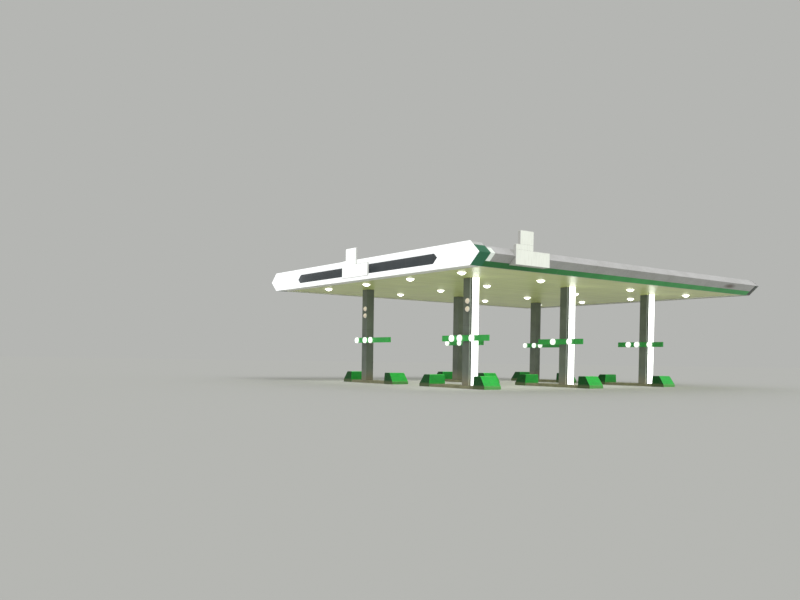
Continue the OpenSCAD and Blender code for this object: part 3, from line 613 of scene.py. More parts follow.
# Places that several pieces share, in metres, read from the solids where they give them
faceLow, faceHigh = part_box("front_light_face")
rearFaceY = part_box("rear_light_face")[1].y
fasciaLow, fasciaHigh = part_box("fascia_right")
ceilingLow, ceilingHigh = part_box("ceiling")
signLow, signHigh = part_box("side_sign")
layout = {
    "edgeX": 9.75,
    "parapetX": 9.72,
    "noseX": faceHigh.x,
    "lowZ": fasciaLow.z,
    "noseZ": (faceLow.z + faceHigh.z) / 2,
    "topZ": fasciaHigh.z,
    "frontY": fasciaLow.y,
    "rearY": fasciaHigh.y,
    "columnX": (-5.025, 5.025),
    "columnY": (-7.75, 0.0, 7.75),
    "columnHalf": 0.27,
    "kerbZ": 0.15,
    "lampX": (-6.645, -2.215, 2.215, 6.645),
    "lampY": (-9.78, -3.96, 3.96, 9.78),
    "lampRadius": 0.23,
    "signY": (signLow.y, signHigh.y),
}
layout["slope"] = (layout["noseX"] - layout["edgeX"]) / (layout["noseZ"] - layout["lowZ"])


def noseAt(z):
    rise = z - layout["lowZ"] if z < layout["noseZ"] else 2 * layout["noseZ"] - layout["lowZ"] - z
    return layout["edgeX"] + layout["slope"] * rise


# Rivet standing on the upper or the lower facet of a nose
def addNoseRivet(mesh, side, y, z, size):
    way = -1 if z < layout["noseZ"] else 1
    outward = Vector((side, 0, way * layout["slope"])).normalized()
    addScrew(mesh, (side * noseAt(z), y, z), outward, size)


# Pointed outline of a light box, down and up from the height of the noses' tips
def hexagon(tip, down, up):
    low, high = tip - layout["slope"] * down, tip - layout["slope"] * up
    return [(-low, -down), (low, -down), (tip, 0), (high, up), (-high, up), (-tip, 0)]


# Ceiling: linear strips with bevelled edges, laid side by side between the fascias
ceilingStrip = {"bevel": 0.006, "gap": 0.002, "lengths": 4, "endGap": 0.003, "narrowest": 0.01,
                "lampGap": 0.005, "postHole": 0.15, "cutBelow": 0.05, "cutAbove": 0.1, "lampCut": 0.2}


def makeCeiling():
    mesh = bmesh.new()
    low, high = ceilingLow.z, ceilingHigh.z
    pitch, bevel = stripCoat["pitch"], ceilingStrip["bevel"]
    run = (ceilingHigh.y - ceilingLow.y) / ceilingStrip["lengths"]
    first, last = math.ceil(ceilingLow.x / pitch) * pitch, ceilingHigh.x - ceilingStrip["narrowest"]
    edges = [ceilingLow.x, *placesFrom(first, last, pitch), ceilingHigh.x]
    for left, right in zip(edges, edges[1:]):
        x0, x1 = left + ceilingStrip["gap"] / 2, right - ceilingStrip["gap"] / 2
        section = [(x0, high), (x0, low + bevel), (x0 + bevel, low), (x1 - bevel, low),
                   (x1, low + bevel), (x1, high)]
        for part in range(ceilingStrip["lengths"]):
            y0 = ceilingLow.y + part * run + ceilingStrip["endGap"] / 2
            y1 = y0 + run - ceilingStrip["endGap"]
            addLoft(mesh, [[(x, y, z) for x, z in section] for y in (y0, y1)])
    cutters = bmesh.new()
    bottom, top = low - ceilingStrip["cutBelow"], high + ceilingStrip["cutAbove"]
    radius = layout["lampRadius"] - ceilingStrip["lampGap"]
    lampHole = [(radius, 0), (radius, ceilingStrip["lampCut"])]
    for x in layout["lampX"]:
        for y in layout["lampY"]:
            addTurned(cutters, (x, y, bottom), (0, 0, 1), lampHole, sides["lamp"])
    half = ceilingStrip["postHole"]
    for x in layout["columnX"]:
        for y in layout["columnY"]:
            addBlock(cutters, (x - half, y - half, bottom), (x + half, y + half, top))
    strips = placePiece("ceilingStrips", mesh, "ceiling", smooth=False)
    cutter = placePiece("ceilingCutter", cutters, "ceiling", smooth=False)
    cut = strips.modifiers.new("holes", "BOOLEAN")
    cut.operation = "DIFFERENCE"
    cut.solver = "EXACT"
    cut.object = cutter
    bpy.context.view_layer.update()
    evaluated = strips.evaluated_get(bpy.context.evaluated_depsgraph_get())
    strips.data = bpy.data.meshes.new_from_object(evaluated)
    strips.data.name = "ceilingStrips"
    strips.modifiers.clear()
    bpy.data.objects.remove(cutter)
    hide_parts("ceiling")


makeCeiling()

# Cream closing trim round the ceiling: one leg on the strips, one down over the fascia's lip
edgeTrim = {"leg": 0.04, "drop": 0.068, "sheet": 0.0025}


def makeEdgeTrim():
    mesh = bmesh.new()
    leg, drop, sheet, z = edgeTrim["leg"], edgeTrim["drop"], edgeTrim["sheet"], ceilingLow.z
    x0, x1, y0, y1 = ceilingLow.x, ceilingHigh.x, ceilingLow.y, ceilingHigh.y
    corners = [(x0, y0, 1, 1), (x1, y0, -1, 1), (x1, y1, -1, -1), (x0, y1, 1, -1)]
    section = [(0, 0), (leg, 0), (leg, sheet), (sheet, sheet), (sheet, drop), (0, drop)]
    addLoft(mesh, [[(x + sx * u, y + sy * u, z - v) for u, v in section] for x, y, sx, sy in corners],
            closed=True)
    placePiece("ceilingEdgeTrim", mesh, "edgeTrim")


makeEdgeTrim()

# Downlight bezels: spun rings under the ceiling with three screws each, finished to glow: painted light
# round each lens. The profile goes outwards from the hole's edge and down from the ceiling.
bezel = {"overlap": 0.004, "screwOut": 0.015, "screwDown": 0.0085, "screw": 0.004,
         "profile": ((0, 0), (0, 0.01), (0.006, 0.012), (0.016, 0.007), (0.026, 0.002), (0.026, 0))}


def makeBezels():
    rings, screws = bmesh.new(), bmesh.new()
    inner, z = layout["lampRadius"] - bezel["overlap"], ceilingLow.z
    profile = [(inner + out, down) for out, down in bezel["profile"]]
    r = inner + bezel["screwOut"]
    for x in layout["lampX"]:
        for y in layout["lampY"]:
            addTurned(rings, (x, y, z), (0, 0, -1), profile, sides["lamp"], closed=True)
            for degrees in (30, 150, 270):
                a = math.radians(degrees)
                spot = (x + r * math.cos(a), y + r * math.sin(a), z - bezel["screwDown"])
                addScrew(screws, spot, (0, 0, -1), bezel["screw"])
    placePiece("downlightBezels", rings, "litRim")
    placePiece("downlightScrews", screws, "screws")


makeBezels()
print("ceiling made")

# Fascia: sealed joints between the panels, coping straps along the parapet
fasciaJoint = {"pitch": 2.42, "width": 0.01, "proud": 0.001, "signGap": 0.03, "stripeWidth": 0.006,
               "stripeProud": 0.0075, "stripeInner": 0.005}
coping = {"half": 0.035, "sheet": 0.003, "screwX": (0.05, 0.2), "screwY": (-0.02, 0.02), "screw": 0.007}


# Band across a fascia's facets at y, from inner below their face to proud above it
def sideBand(mesh, side, y, width, heights, proud, inner=0.001):
    outer = [(noseAt(z) + proud, z) for z in heights]
    back = [(noseAt(z) - inner, z) for z in reversed(heights)]
    addLoft(mesh, [[(side * x, end, z) for x, z in outer + back] for end in (y - width / 2, y + width / 2)])


def jointPlaces():
    count = round((layout["rearY"] - layout["frontY"]) / fasciaJoint["pitch"])
    step = (layout["rearY"] - layout["frontY"]) / count
    return [layout["frontY"] + step * i for i in range(1, count)]


def makeFasciaJoints():
    joints, straps, screws = bmesh.new(), bmesh.new(), bmesh.new()
    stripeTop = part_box("green_stripes")[1].z
    parapetX, half = layout["parapetX"], coping["half"]
    low, nose, top = layout["lowZ"], layout["noseZ"], layout["topZ"]
    topX, strapTop = noseAt(top), top + coping["sheet"]
    signStart = layout["signY"][0] - fasciaJoint["signGap"]
    signEnd = layout["signY"][1] + fasciaJoint["signGap"]
    for side in (-1, 1):
        for y in jointPlaces():
            if side < 0 or not signStart < y < signEnd:
                sideBand(joints, side, y, fasciaJoint["width"], [stripeTop, nose, top],
                         fasciaJoint["proud"])
                sideBand(joints, side, y, fasciaJoint["stripeWidth"], [low, stripeTop],
                         fasciaJoint["stripeProud"], -fasciaJoint["stripeInner"])
            addBlock(straps, (side * parapetX, y - half, top), (side * topX, y + half, strapTop))
            for dx in coping["screwX"]:
                for dy in coping["screwY"]:
                    spot = (side * (parapetX + dx), y + dy, strapTop)
                    addScrew(screws, spot, (0, 0, 1), coping["screw"])
    placePiece("fasciaJoints", joints, "paleSealant")
    placePiece("copingStraps", straps, "fascia")
    placePiece("copingScrews", screws, "screws")


makeFasciaJoints()

# Folded tips along the noses, held by rivets above and below
noseTip = {"reach": 0.012, "sheet": 0.0015, "back": 0.001, "frontGap": 0.3, "endGap": 0.002,
           "rivetPitch": 0.605, "firstRivet": 0.05, "lastRivet": 0.02, "rivetRise": 0.03, "rivet": 0.005}


def makeNoseTips():
    tips, rivets = bmesh.new(), bmesh.new()
    gap = noseTip["endGap"]
    y0, y1 = layout["frontY"] + noseTip["frontGap"], layout["rearY"] - gap
    tip, z, reach, sheet = layout["noseX"], layout["noseZ"], noseTip["reach"], noseTip["sheet"]
    folded = tip - layout["slope"] * reach
    section = [(folded, z - reach), (folded + sheet, z - reach), (tip + sheet, z),
               (folded + sheet, z + reach), (folded, z + reach), (tip - noseTip["back"], z)]
    spans = {-1: [(y0, y1)], 1: [(y0, layout["signY"][0] - gap), (layout["signY"][1] + gap, y1)]}
    for side in (-1, 1):
        for start, end in spans[side]:
            addLoft(tips, [[(side * x, y, h) for x, h in section] for y in (start, end)])
            first, last = start + noseTip["firstRivet"], end - noseTip["lastRivet"]
            for y in placesFrom(first, last, noseTip["rivetPitch"]):
                for rise in (-noseTip["rivetRise"], noseTip["rivetRise"]):
                    addNoseRivet(rivets, side, y, z + rise, noseTip["rivet"])
    placePiece("noseTips", tips, "fascia")
    placePiece("noseRivets", rivets, "screws")


makeNoseTips()

# Corner wraps and lit bands: folded return edges with rivets along both ends of a wrap, and lips
# along a band
wrapTrim = {"edge": 0.014, "proud": 0.002, "rivetPitch": 0.19, "rivet": 0.005, "rivetIn": 0.03,
            "firstRivet": 0.08, "lastRivet": 0.04, "lip": 0.008, "lipProud": 0.002}


def makeWrapTrims():
    edges, rivets, lips = bmesh.new(), bmesh.new(), bmesh.new()
    wrapLow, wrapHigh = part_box("corner_wraps")
    bandLow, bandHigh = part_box("light_bands")
    low, nose, top = layout["lowZ"], layout["noseZ"], layout["topZ"]
    firstZ, lastZ = low + wrapTrim["firstRivet"], top - wrapTrim["lastRivet"]
    edgeHalf, lipHalf = wrapTrim["edge"] / 2, wrapTrim["lip"] / 2
    lipProud = bandHigh.x - layout["noseX"] + wrapTrim["lipProud"]
    for side in (-1, 1):
        for y, way in ((wrapLow.y + edgeHalf, 1), (wrapHigh.y - edgeHalf, -1)):
            sideBand(edges, side, y, wrapTrim["edge"], [low, nose, top], wrapTrim["proud"])
            for z in placesFrom(firstZ, lastZ, wrapTrim["rivetPitch"]):
                addNoseRivet(rivets, side, y + way * wrapTrim["rivetIn"], z, wrapTrim["rivet"])
        for y in (bandLow.y + lipHalf, bandHigh.y - lipHalf):
            sideBand(lips, side, y, wrapTrim["lip"], [bandLow.z, nose, bandHigh.z], lipProud, 0.0)
    placePiece("wrapEdges", edges, "wrap")
    placePiece("wrapRivets", rivets, "screws")
    placePiece("lightBandLips", lips, "trim")


makeWrapTrims()
print("fascias jointed")

# Light boxes: trim caps round the lit faces and recesses, joints in the acrylic and the dark panels.
# down and up are measured from the height of the noses' tips. Joints nearer the middle than
# recessReach stop at the recess.
lightBox = {"cap": 0.022, "capOut": 0.001, "capBack": 0.006, "proud": 0.003, "recessTip": 7.36,
            "recessReach": 7.01, "recessCap": 0.018, "recessCapTip": 0.028}
acrylicJoint = {"count": 8, "pitch": 2.44, "width": 0.005, "proud": 0.001}
panelJoint = {"count": 12, "pitch": 1.22, "width": 0.01, "proud": 0.0012}
lightBoxEnds = {
    "front": {"faceY": faceLow.y, "way": -1, "down": 0.575, "up": 0.575, "recessDown": 0.295,
              # The front trim caps take the lit face's finish and glow: painted light
              "recessUp": 0.295, "panelNode": "front_recess_panel", "cap": "litFace"},
    "rear": {"faceY": rearFaceY, "way": 1, "down": 0.575, "up": 0.375, "recessDown": 0.395,
             "recessUp": 0.195, "panelNode": "rear_recess_panel", "cap": "rearCase"},
}


def hexFrame(mesh, tip, down, up, inward, y0, y1):
    outer = hexagon(tip, down, up)
    inner = hexagon(tip - inward * math.hypot(1, layout["slope"]), down - inward, up - inward)
    z = layout["noseZ"]
    rings = []
    for (xo, zo), (xi, zi) in zip(outer, inner):
        rings.append([(xo, y0, z + zo), (xo, y1, z + zo), (xi, y1, z + zi), (xi, y0, z + zi)])
    addLoft(mesh, rings, closed=True)


def uprightJoint(mesh, x, joint, faceY, way, low, high):
    half, z = joint["width"] / 2, layout["noseZ"]
    addBlock(mesh, (x - half, faceY, z + low), (x + half, faceY + way * joint["proud"], z + high))


def makeLightBoxTrims():
    joints, seals = bmesh.new(), bmesh.new()
    cap, recessCap = lightBox["cap"], lightBox["recessCap"]
    recessTip = lightBox["recessTip"] + lightBox["recessCapTip"]
    for name, end in lightBoxEnds.items():
        caps = bmesh.new()
        faceY, way = end["faceY"], end["way"]
        capY = (faceY - way * lightBox["capBack"], faceY + way * lightBox["proud"])
        recessLow, recessHigh = -end["recessDown"] - recessCap, end["recessUp"] + recessCap
        hexFrame(caps, layout["noseX"] + lightBox["capOut"], end["down"], end["up"], cap, *capY)
        hexFrame(caps, recessTip, -recessLow, recessHigh, recessCap, *capY)
        placePiece(name + "BoxCaps", caps, end["cap"])
        low, high = cap - end["down"], end["up"] - cap
        for x in centredPlaces(acrylicJoint["count"], acrylicJoint["pitch"]):
            spans = [(low, high)]
            if abs(x) < lightBox["recessReach"]:
                spans = [(low, recessLow), (recessHigh, high)]
            for z0, z1 in spans:
                uprightJoint(joints, x, acrylicJoint, faceY, way, z0, z1)
        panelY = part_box(end["panelNode"])[0 if way < 0 else 1].y
        for x in centredPlaces(panelJoint["count"], panelJoint["pitch"]):
            uprightJoint(seals, x, panelJoint, panelY, way, -end["recessDown"], end["recessUp"])
    placePiece("acrylicJoints", joints, "paleSealant")
    placePiece("recessJoints", seals, "sealant")


makeLightBoxTrims()

# Light box casings: folded stiffeners on the sheet that shows above the roof, and rivets along the
# top and the underside
casing = {"stiffeners": 12, "pitch": 1.6, "half": 0.02, "depth": 0.025, "shows": 0.2, "topGap": 0.004,
          "endRivets": (0.05, 0.03), "rivetPitch": 0.2, "rivetEnd": 9.2, "rivetIn": 0.03, "rivet": 0.005}


def makeCasingTrims():
    rivets = bmesh.new()
    deckTop = layout["topZ"] - casing["shows"]
    fromFoot, fromTop = casing["endRivets"]
    half, inward, size = casing["half"], casing["rivetIn"], casing["rivet"]
    for end, way, finish in (("front", 1, "case"), ("rear", -1, "rearCase")):
        stiffeners = bmesh.new()
        low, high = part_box(end + "_case")
        backY = high.y if way > 0 else low.y
        outY = backY + way * casing["depth"]
        for x in centredPlaces(casing["stiffeners"], casing["pitch"]):
            addBlock(stiffeners, (x - half, backY, deckTop), (x + half, outY, high.z - casing["topGap"]))
            for z in (deckTop + fromFoot, high.z - fromTop):
                addScrew(rivets, (x, outY, z), (0, way, 0), size)
        for x in placesFrom(-casing["rivetEnd"], casing["rivetEnd"], casing["rivetPitch"]):
            for y in (low.y + inward, high.y - inward):
                addScrew(rivets, (x, y, high.z), (0, 0, 1), size)
                addScrew(rivets, (x, y, low.z), (0, 0, -1), size)
        placePiece(end + "CasingStiffeners", stiffeners, finish)
    placePiece("casingRivets", rivets, "screws")


makeCasingTrims()
print("light boxes trimmed")

# Columns: sealed groove, bead at the foot and a collar under the ceiling, each as (out, up) from the
# cladding and its own height, and rows of rivets beside the corners
columnTrim = {"jointZ": 3.45, "rivetX": 0.235, "rivet": 0.006,
              "rivetRows": (0.21, 0.95, 1.7, 2.45, 3.4, 3.5, 4.15, 4.85, 5.5, 5.98),
              "seal": ((-0.012, -0.006), (-0.003, -0.006), (-0.004, 0), (-0.003, 0.006), (-0.012, 0.006)),
              "bead": ((-0.002, 0), (0.012, 0), (0.0066, 0.0066), (-0.002, 0.012)),
              "collar": ((0, -0.03), (0.003, -0.03), (0.003, -0.003), (0.03, -0.003), (0.03, 0), (0, 0))}


def squareRing(mesh, x, y, z, profile):
    half = layout["columnHalf"]
    corners = [(-1, -1), (1, -1), (1, 1), (-1, 1)]
    addLoft(mesh, [[(x + sx * (half + out), y + sy * (half + out), z + up) for out, up in profile]
                   for sx, sy in corners], closed=True)


def makeColumnTrims():
    seals, collars, rivets = bmesh.new(), bmesh.new(), bmesh.new()
    half = layout["columnHalf"]
    for x in layout["columnX"]:
        for y in layout["columnY"]:
            for z in columnTrim["rivetRows"]:
                for offset in (-columnTrim["rivetX"], columnTrim["rivetX"]):
                    for nx, ny in ((0, -1), (0, 1), (-1, 0), (1, 0)):
                        spot = (x + nx * half + abs(ny) * offset, y + ny * half + abs(nx) * offset, z)
                        addScrew(rivets, spot, (nx, ny, 0), columnTrim["rivet"])
            squareRing(seals, x, y, columnTrim["jointZ"], columnTrim["seal"])
            squareRing(seals, x, y, layout["kerbZ"], columnTrim["bead"])
            squareRing(collars, x, y, ceilingLow.z, columnTrim["collar"])
    placePiece("columnSeals", seals, "sealant")
    placePiece("columnCollars", collars, "ceiling")
    placePiece("columnRivets", rivets, "column")


makeColumnTrims()

# Light strips: end caps, couplers between the diffuser lengths and cable glands at the foot
strip = {"half": 0.15, "corner": 0.045, "joints": (2.15, 4.13), "capHeight": 0.016, "capLip": 0.003,
         "capBelow": 0.004, "capTopGap": 0.001, "couplerHalf": 0.006, "couplerLip": 0.0015,
         "couplerBack": 0.07, "glandX": 0.035,
         "gland": ((0.014, 0), (0.014, 0.003), (0.009, 0.004), (0.009, 0.006))}


def stripOutline(x0, frontX, grow):
    half, front, radius = strip["half"] + grow, frontX + grow, strip["corner"]
    points = [(x0, half), (x0, -half)]
    points += arcPoints(front - radius, -half + radius, radius, -90, 7)
    points += arcPoints(front - radius, half - radius, radius, 0, 7)
    return points


def makeStripFittings():
    caps, couplers, glands = bmesh.new(), bmesh.new(), bmesh.new()
    low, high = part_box("strip_diffusers")
    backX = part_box("strip_channels")[0].x
    capOutline = stripOutline(backX, high.x, strip["capLip"])
    couplerOutline = stripOutline(backX + strip["couplerBack"], high.x, strip["couplerLip"])
    footZ, capHeight, half = low.z - strip["capBelow"], strip["capHeight"], strip["couplerHalf"]
    for y in layout["columnY"]:
        for span in ((footZ, low.z + capHeight), (high.z - capHeight, high.z - strip["capTopGap"])):
            addLoft(caps, [[(px, y + py, z) for px, py in capOutline] for z in span])
        for joint in strip["joints"]:
            span = (joint - half, joint + half)
            addLoft(couplers, [[(px, y + py, z) for px, py in couplerOutline] for z in span])
        addTurned(glands, (backX + strip["glandX"], y, footZ), (0, 0, -1), strip["gland"], sides["gland"])
    placePiece("stripEndCaps", caps, "aluminium")
    placePiece("stripCouplers", couplers, "trim")
    placePiece("stripGlands", glands, "sealant")


makeStripFittings()

# Number boards: folded edge frames, angle brackets to the columns, and rims round the foot and the
# front of the lit discs
board = {"frame": 0.02, "proud": 0.003, "fold": 0.001}
bracket = {"x": 0.2, "endGap": 0.05, "half": 0.025, "leg": 0.06, "sheet": 0.005, "boltAt": 0.035,
           "bolt": 0.011}
discRim = {"foot": ((0.181, 0), (0.194, 0), (0.194, 0.012), (0.181, 0.012)),
           "front": ((0.186, 0.088), (0.1925, 0.084), (0.1925, 0.091), (0.189, 0.0935), (0.182, 0.0925),
                     (0.18, 0.0905))}


# Centres of the lit discs on their boards' faces, from the loose parts of their solid
def discPlaces():
    mesh = bmesh.new()
    mesh.from_mesh(nodes["number_lamps"].data)
    bmesh.ops.remove_doubles(mesh, verts=mesh.verts, dist=0.0001)
    seen, places = set(), []
    for start in mesh.verts:
        if start in seen:
            continue
        group, queue = [], [start]
        seen.add(start)
        while queue:
            vert = queue.pop()
            group.append(vert.co.copy())
            for edge in vert.link_edges:
                other = edge.other_vert(vert)
                if other not in seen:
                    seen.add(other)
                    queue.append(other)
        xs, ys, zs = zip(*group)
        places.append(((min(xs) + max(xs)) / 2, max(ys), (min(zs) + max(zs)) / 2))
    mesh.free()
    return places


def addBracket(mesh, x, backY, z, way):
    half, leg, sheet = bracket["half"], bracket["leg"], bracket["sheet"]
    boltAt, bolt = bracket["boltAt"], bracket["bolt"]
    addBlock(mesh, (x - half, backY - sheet, z), (x + half, backY, z + way * leg))
    addBlock(mesh, (x - half, backY - leg, z), (x + half, backY - sheet, z + way * sheet))
    addBolt(mesh, (x, backY - boltAt, z + way * sheet), (0, 0, way), bolt)
    addBolt(mesh, (x, backY - sheet, z + way * boltAt), (0, -1, 0), bolt)


def makeBoardTrims():
    frames, rims, brackets = bmesh.new(), bmesh.new(), bmesh.new()
    edge, gap = board["frame"], bracket["endGap"]
    for nodeName in [n for n in nodes if n.startswith("board_")]:
        low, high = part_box(nodeName)
        y0, y1 = low.y - board["proud"], low.y
        corners = [(low.x, low.z, 1, 1), (high.x, low.z, -1, 1), (high.x, high.z, -1, -1),
                   (low.x, high.z, 1, -1)]
        rings = []
        for x, z, sx, sz in corners:
            ix, iz = x + sx * edge, z + sz * edge
            rings.append([(x, y0, z), (x, y1, z), (ix, y1, iz), (ix, y0 + board["fold"], iz)])
        addLoft(frames, rings, closed=True)
        columnX = layout["columnX"][1 if low.x > 0 else 0]
        for x in (columnX - bracket["x"], columnX + bracket["x"]):
            if low.x < x - gap and x + gap < high.x:
                addBracket(brackets, x, high.y, high.z, 1)
                addBracket(brackets, x, high.y, low.z, -1)
    for place in discPlaces():
        addTurned(rims, place, (0, -1, 0), discRim["foot"], sides["disc"], closed=True)
        addTurned(rims, place, (0, -1, 0), discRim["front"], sides["disc"], closed=True)
    placePiece("boardFrames", frames, "board")
    placePiece("discRims", rims, "trim")
    placePiece("boardBrackets", brackets, "screws")


makeBoardTrims()
print("columns, strips and boards fitted")

# Wall lamps: a rim round each dome, as (radius, out) pairs, and four screws in its side
wallLamp = {"x": 0.11, "z": (4.34, 4.78), "screwRadius": 0.158, "screwOut": 0.01, "screw": 0.006,
            "rim": ((0.148, 0), (0.158, 0), (0.158, 0.02), (0.152, 0.029), (0.14, 0.037), (0.136, 0.029))}


def makeWallLampRims():
    rims, screws = bmesh.new(), bmesh.new()
    y, r = layout["columnY"][0] - layout["columnHalf"], wallLamp["screwRadius"]
    for columnX in layout["columnX"]:
        for z in wallLamp["z"]:
            x = columnX + wallLamp["x"]
            addTurned(rims, (x, y, z), (0, -1, 0), wallLamp["rim"], sides["disc"], closed=True)
            for degrees in (45, 135, 225, 315):
                a = math.radians(degrees)
                spot = (x + r * math.cos(a), y - wallLamp["screwOut"], z + r * math.sin(a))
                addScrew(screws, spot, (math.cos(a), 0, math.sin(a)), wallLamp["screw"])
    placePiece("wallLampRims", rims, "trim")
    placePiece("wallLampScrews", screws, "screws")


makeWallLampRims()

# Islands: filled joints across the kerbs, and anchor bolts and studs on the raised pads
islandTrim = {"joints": 4, "pitch": 1.33, "jointHalf": 0.005, "proud": 0.001, "sunk": 0.002}
pad = {"x": 0.575, "reach": 0.78, "half": 0.31, "studX": 0.5, "studY": 0.2, "bolt": 0.016,
       "stud": ((0.008, 0), (0.008, 0.045), (0.0056, 0.05))}


def makeIslandTrims():
    joints, studs = bmesh.new(), bmesh.new()
    kerb, jointHalf = layout["kerbZ"], islandTrim["jointHalf"]
    proud, sunk = islandTrim["proud"], islandTrim["sunk"]
    for nodeName in [n for n in nodes if n.startswith("island_")]:
        low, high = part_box(nodeName)
        middleX, middleY = (low.x + high.x) / 2, (low.y + high.y) / 2
        padX = middleX - math.copysign(pad["x"], middleX)
        half = (high.y - low.y) / 2
        for offset in centredPlaces(islandTrim["joints"], islandTrim["pitch"]):
            x = middleX + offset
            spans = [(-half, half)]
            if abs(x - padX) < pad["reach"]:
                spans = [(-half, -pad["half"]), (pad["half"], half)]
            for y0, y1 in spans:
                y0, y1 = middleY + y0, middleY + y1
                addBlock(joints, (x - jointHalf, y0, kerb - sunk), (x + jointHalf, y1, kerb + proud))
            for way in (-1, 1):
                y0, y1 = middleY + way * (half - sunk), middleY + way * (half + proud)
                addBlock(joints, (x - jointHalf, y0, 0.0), (x + jointHalf, y1, kerb + proud))
        for sx in (-1, 1):
            for sy in (-1, 1):
                spot = (padX + sx * pad["studX"], middleY + sy * pad["studY"], high.z)
                addBolt(studs, spot, (0, 0, 1), pad["bolt"])
                addTurned(studs, spot, (0, 0, 1), pad["stud"], sides["screw"])
    placePiece("kerbJoints", joints, "sealant")
    placePiece("padStuds", studs, "screws")


makeIslandTrims()
print("islands fitted")

# Roof: gutter straps, wire leaf guards over the outlets, and screws along the ridge
gutterStrap = {"count": 25, "x": (9.322, 9.718), "z": 6.51, "half": 0.015, "sheet": 0.004, "endGap": 0.4}
leafGuard = {"x": 9.56, "yFromColumn": 0.6, "z": 6.41, "radius": 0.06, "height": 0.08, "wires": 8,
             "bends": 5, "wire": 0.0025, "wireCorners": (0, 1.57, 3.14, 4.71),
             "ring": ((0.055, 0), (0.066, 0), (0.066, 0.006), (0.055, 0.006))}
ridgeScrew = {"x": 0.17, "pitch": 0.45, "frontGap": 0.3, "rearGap": 0.2, "sunk": 0.003, "size": 0.008}


def addLeafGuard(mesh, place):
    reach, height, wire = leafGuard["radius"], leafGuard["height"], leafGuard["wire"]
    corners = [Vector((wire * math.cos(b), wire * math.sin(b), 0)) for b in leafGuard["wireCorners"]]
    for k in range(leafGuard["wires"]):
        a = math.pi * 2 * k / leafGuard["wires"]
        rings = []
        for step in range(leafGuard["bends"] + 1):
            t = math.radians(90 * step / leafGuard["bends"])
            out = reach * math.cos(t)
            centre = place + Vector((out * math.cos(a), out * math.sin(a), height * math.sin(t)))
            rings.append([centre + corner for corner in corners])
        addLoft(mesh, rings)
    addTurned(mesh, place, (0, 0, 1), leafGuard["ring"], sides["guard"], closed=True)


def makeRoofFittings():
    straps, guards, screws = bmesh.new(), bmesh.new(), bmesh.new()
    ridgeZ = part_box("roof_flashings")[1].z - ridgeScrew["sunk"]
    strapX0, strapX1 = gutterStrap["x"]
    strapZ, half, endGap = gutterStrap["z"], gutterStrap["half"], gutterStrap["endGap"]
    strapTop = strapZ + gutterStrap["sheet"]
    guardX, guardZ = leafGuard["x"], leafGuard["z"]
    run = layout["rearY"] - layout["frontY"] - 2 * endGap
    for side in (-1, 1):
        for i in range(gutterStrap["count"]):
            y = layout["frontY"] + endGap + i * run / (gutterStrap["count"] - 1)
            addBlock(straps, (side * strapX0, y - half, strapZ), (side * strapX1, y + half, strapTop))
        for y in layout["columnY"]:
            addLeafGuard(guards, Vector((side * guardX, y + leafGuard["yFromColumn"], guardZ)))
    first, last = layout["frontY"] + ridgeScrew["frontGap"], layout["rearY"] - ridgeScrew["rearGap"]
    for y in placesFrom(first, last, ridgeScrew["pitch"]):
        for side in (-1, 1):
            addScrew(screws, (side * ridgeScrew["x"], y, ridgeZ), (0, 0, 1), ridgeScrew["size"])
    placePiece("gutterStraps", straps, "zinc")
    placePiece("leafGuards", guards, "screws")
    placePiece("ridgeScrews", screws, "screws")


makeRoofFittings()
print("roof fitted")

# Sign boxes: trim caps round their lit fronts, joints between their modules and screws in the returns
signTrim = {"cap": 0.02, "capOut": 0.0015, "capBack": 0.012, "proud": 0.004, "radius": 0.05,
            "jointHalf": 0.002, "jointProud": 0.001, "jointSunk": 0.001, "screw": 0.006, "screwBack": 0.04,
            "screwHeights": (0.2, 0.45, 0.9, 1.3, 1.6), "boxTop": 0.73, "panelTop": 1.0, "bladeTop": 1.68}
signSizes = {
    "front_sign": {"box": 2.65, "panel": 1.45, "blade": 1.08, "sideways": False},
    "side_sign": {"box": 2.35, "panel": 1.2, "blade": 0.92, "sideways": True},
}


def signPath(size):
    r, boxTop, panelTop, bladeTop = (signTrim[k] for k in ("radius", "boxTop", "panelTop", "bladeTop"))
    bladeLeft = size["panel"] - size["blade"]
    path = [(0, 0), (size["box"], 0), (size["box"], boxTop), (size["panel"], boxTop)]
    path += arcPoints(size["panel"] - r, bladeTop - r, r, 0, 5)
    path += arcPoints(bladeLeft + r, bladeTop - r, r, 90, 5)
    path.append((bladeLeft, panelTop))
    path += arcPoints(r, panelTop - r, r, 90, 5)
    return path


def insetPath(path, distance):
    inner = []
    for i, point in enumerate(path):
        before, after = Vector(path[i - 1]), Vector(path[(i + 1) % len(path)])
        here = Vector(point)
        a, b = (here - before).normalized(), (after - here).normalized()
        left = Vector((-a.y, a.x)) + Vector((-b.y, b.x))
        inner.append(here + left * distance / (1 + a.dot(b)))
    return inner


# Point on a sign's face from its width, its height and how far it stands out
def signPoint(nodeName, u, v, out):
    low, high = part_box(nodeName)
    if signSizes[nodeName]["sideways"]:
        return (high.x + out, low.y + u, low.z + v)
    return (low.x + u, low.y - out, low.z + v)


def addSignJoint(mesh, nodeName, u0, u1, v):
    half = signTrim["jointHalf"]
    first = signPoint(nodeName, u0, v - half, -signTrim["jointSunk"])
    addBlock(mesh, first, signPoint(nodeName, u1, v + half, signTrim["jointProud"]))


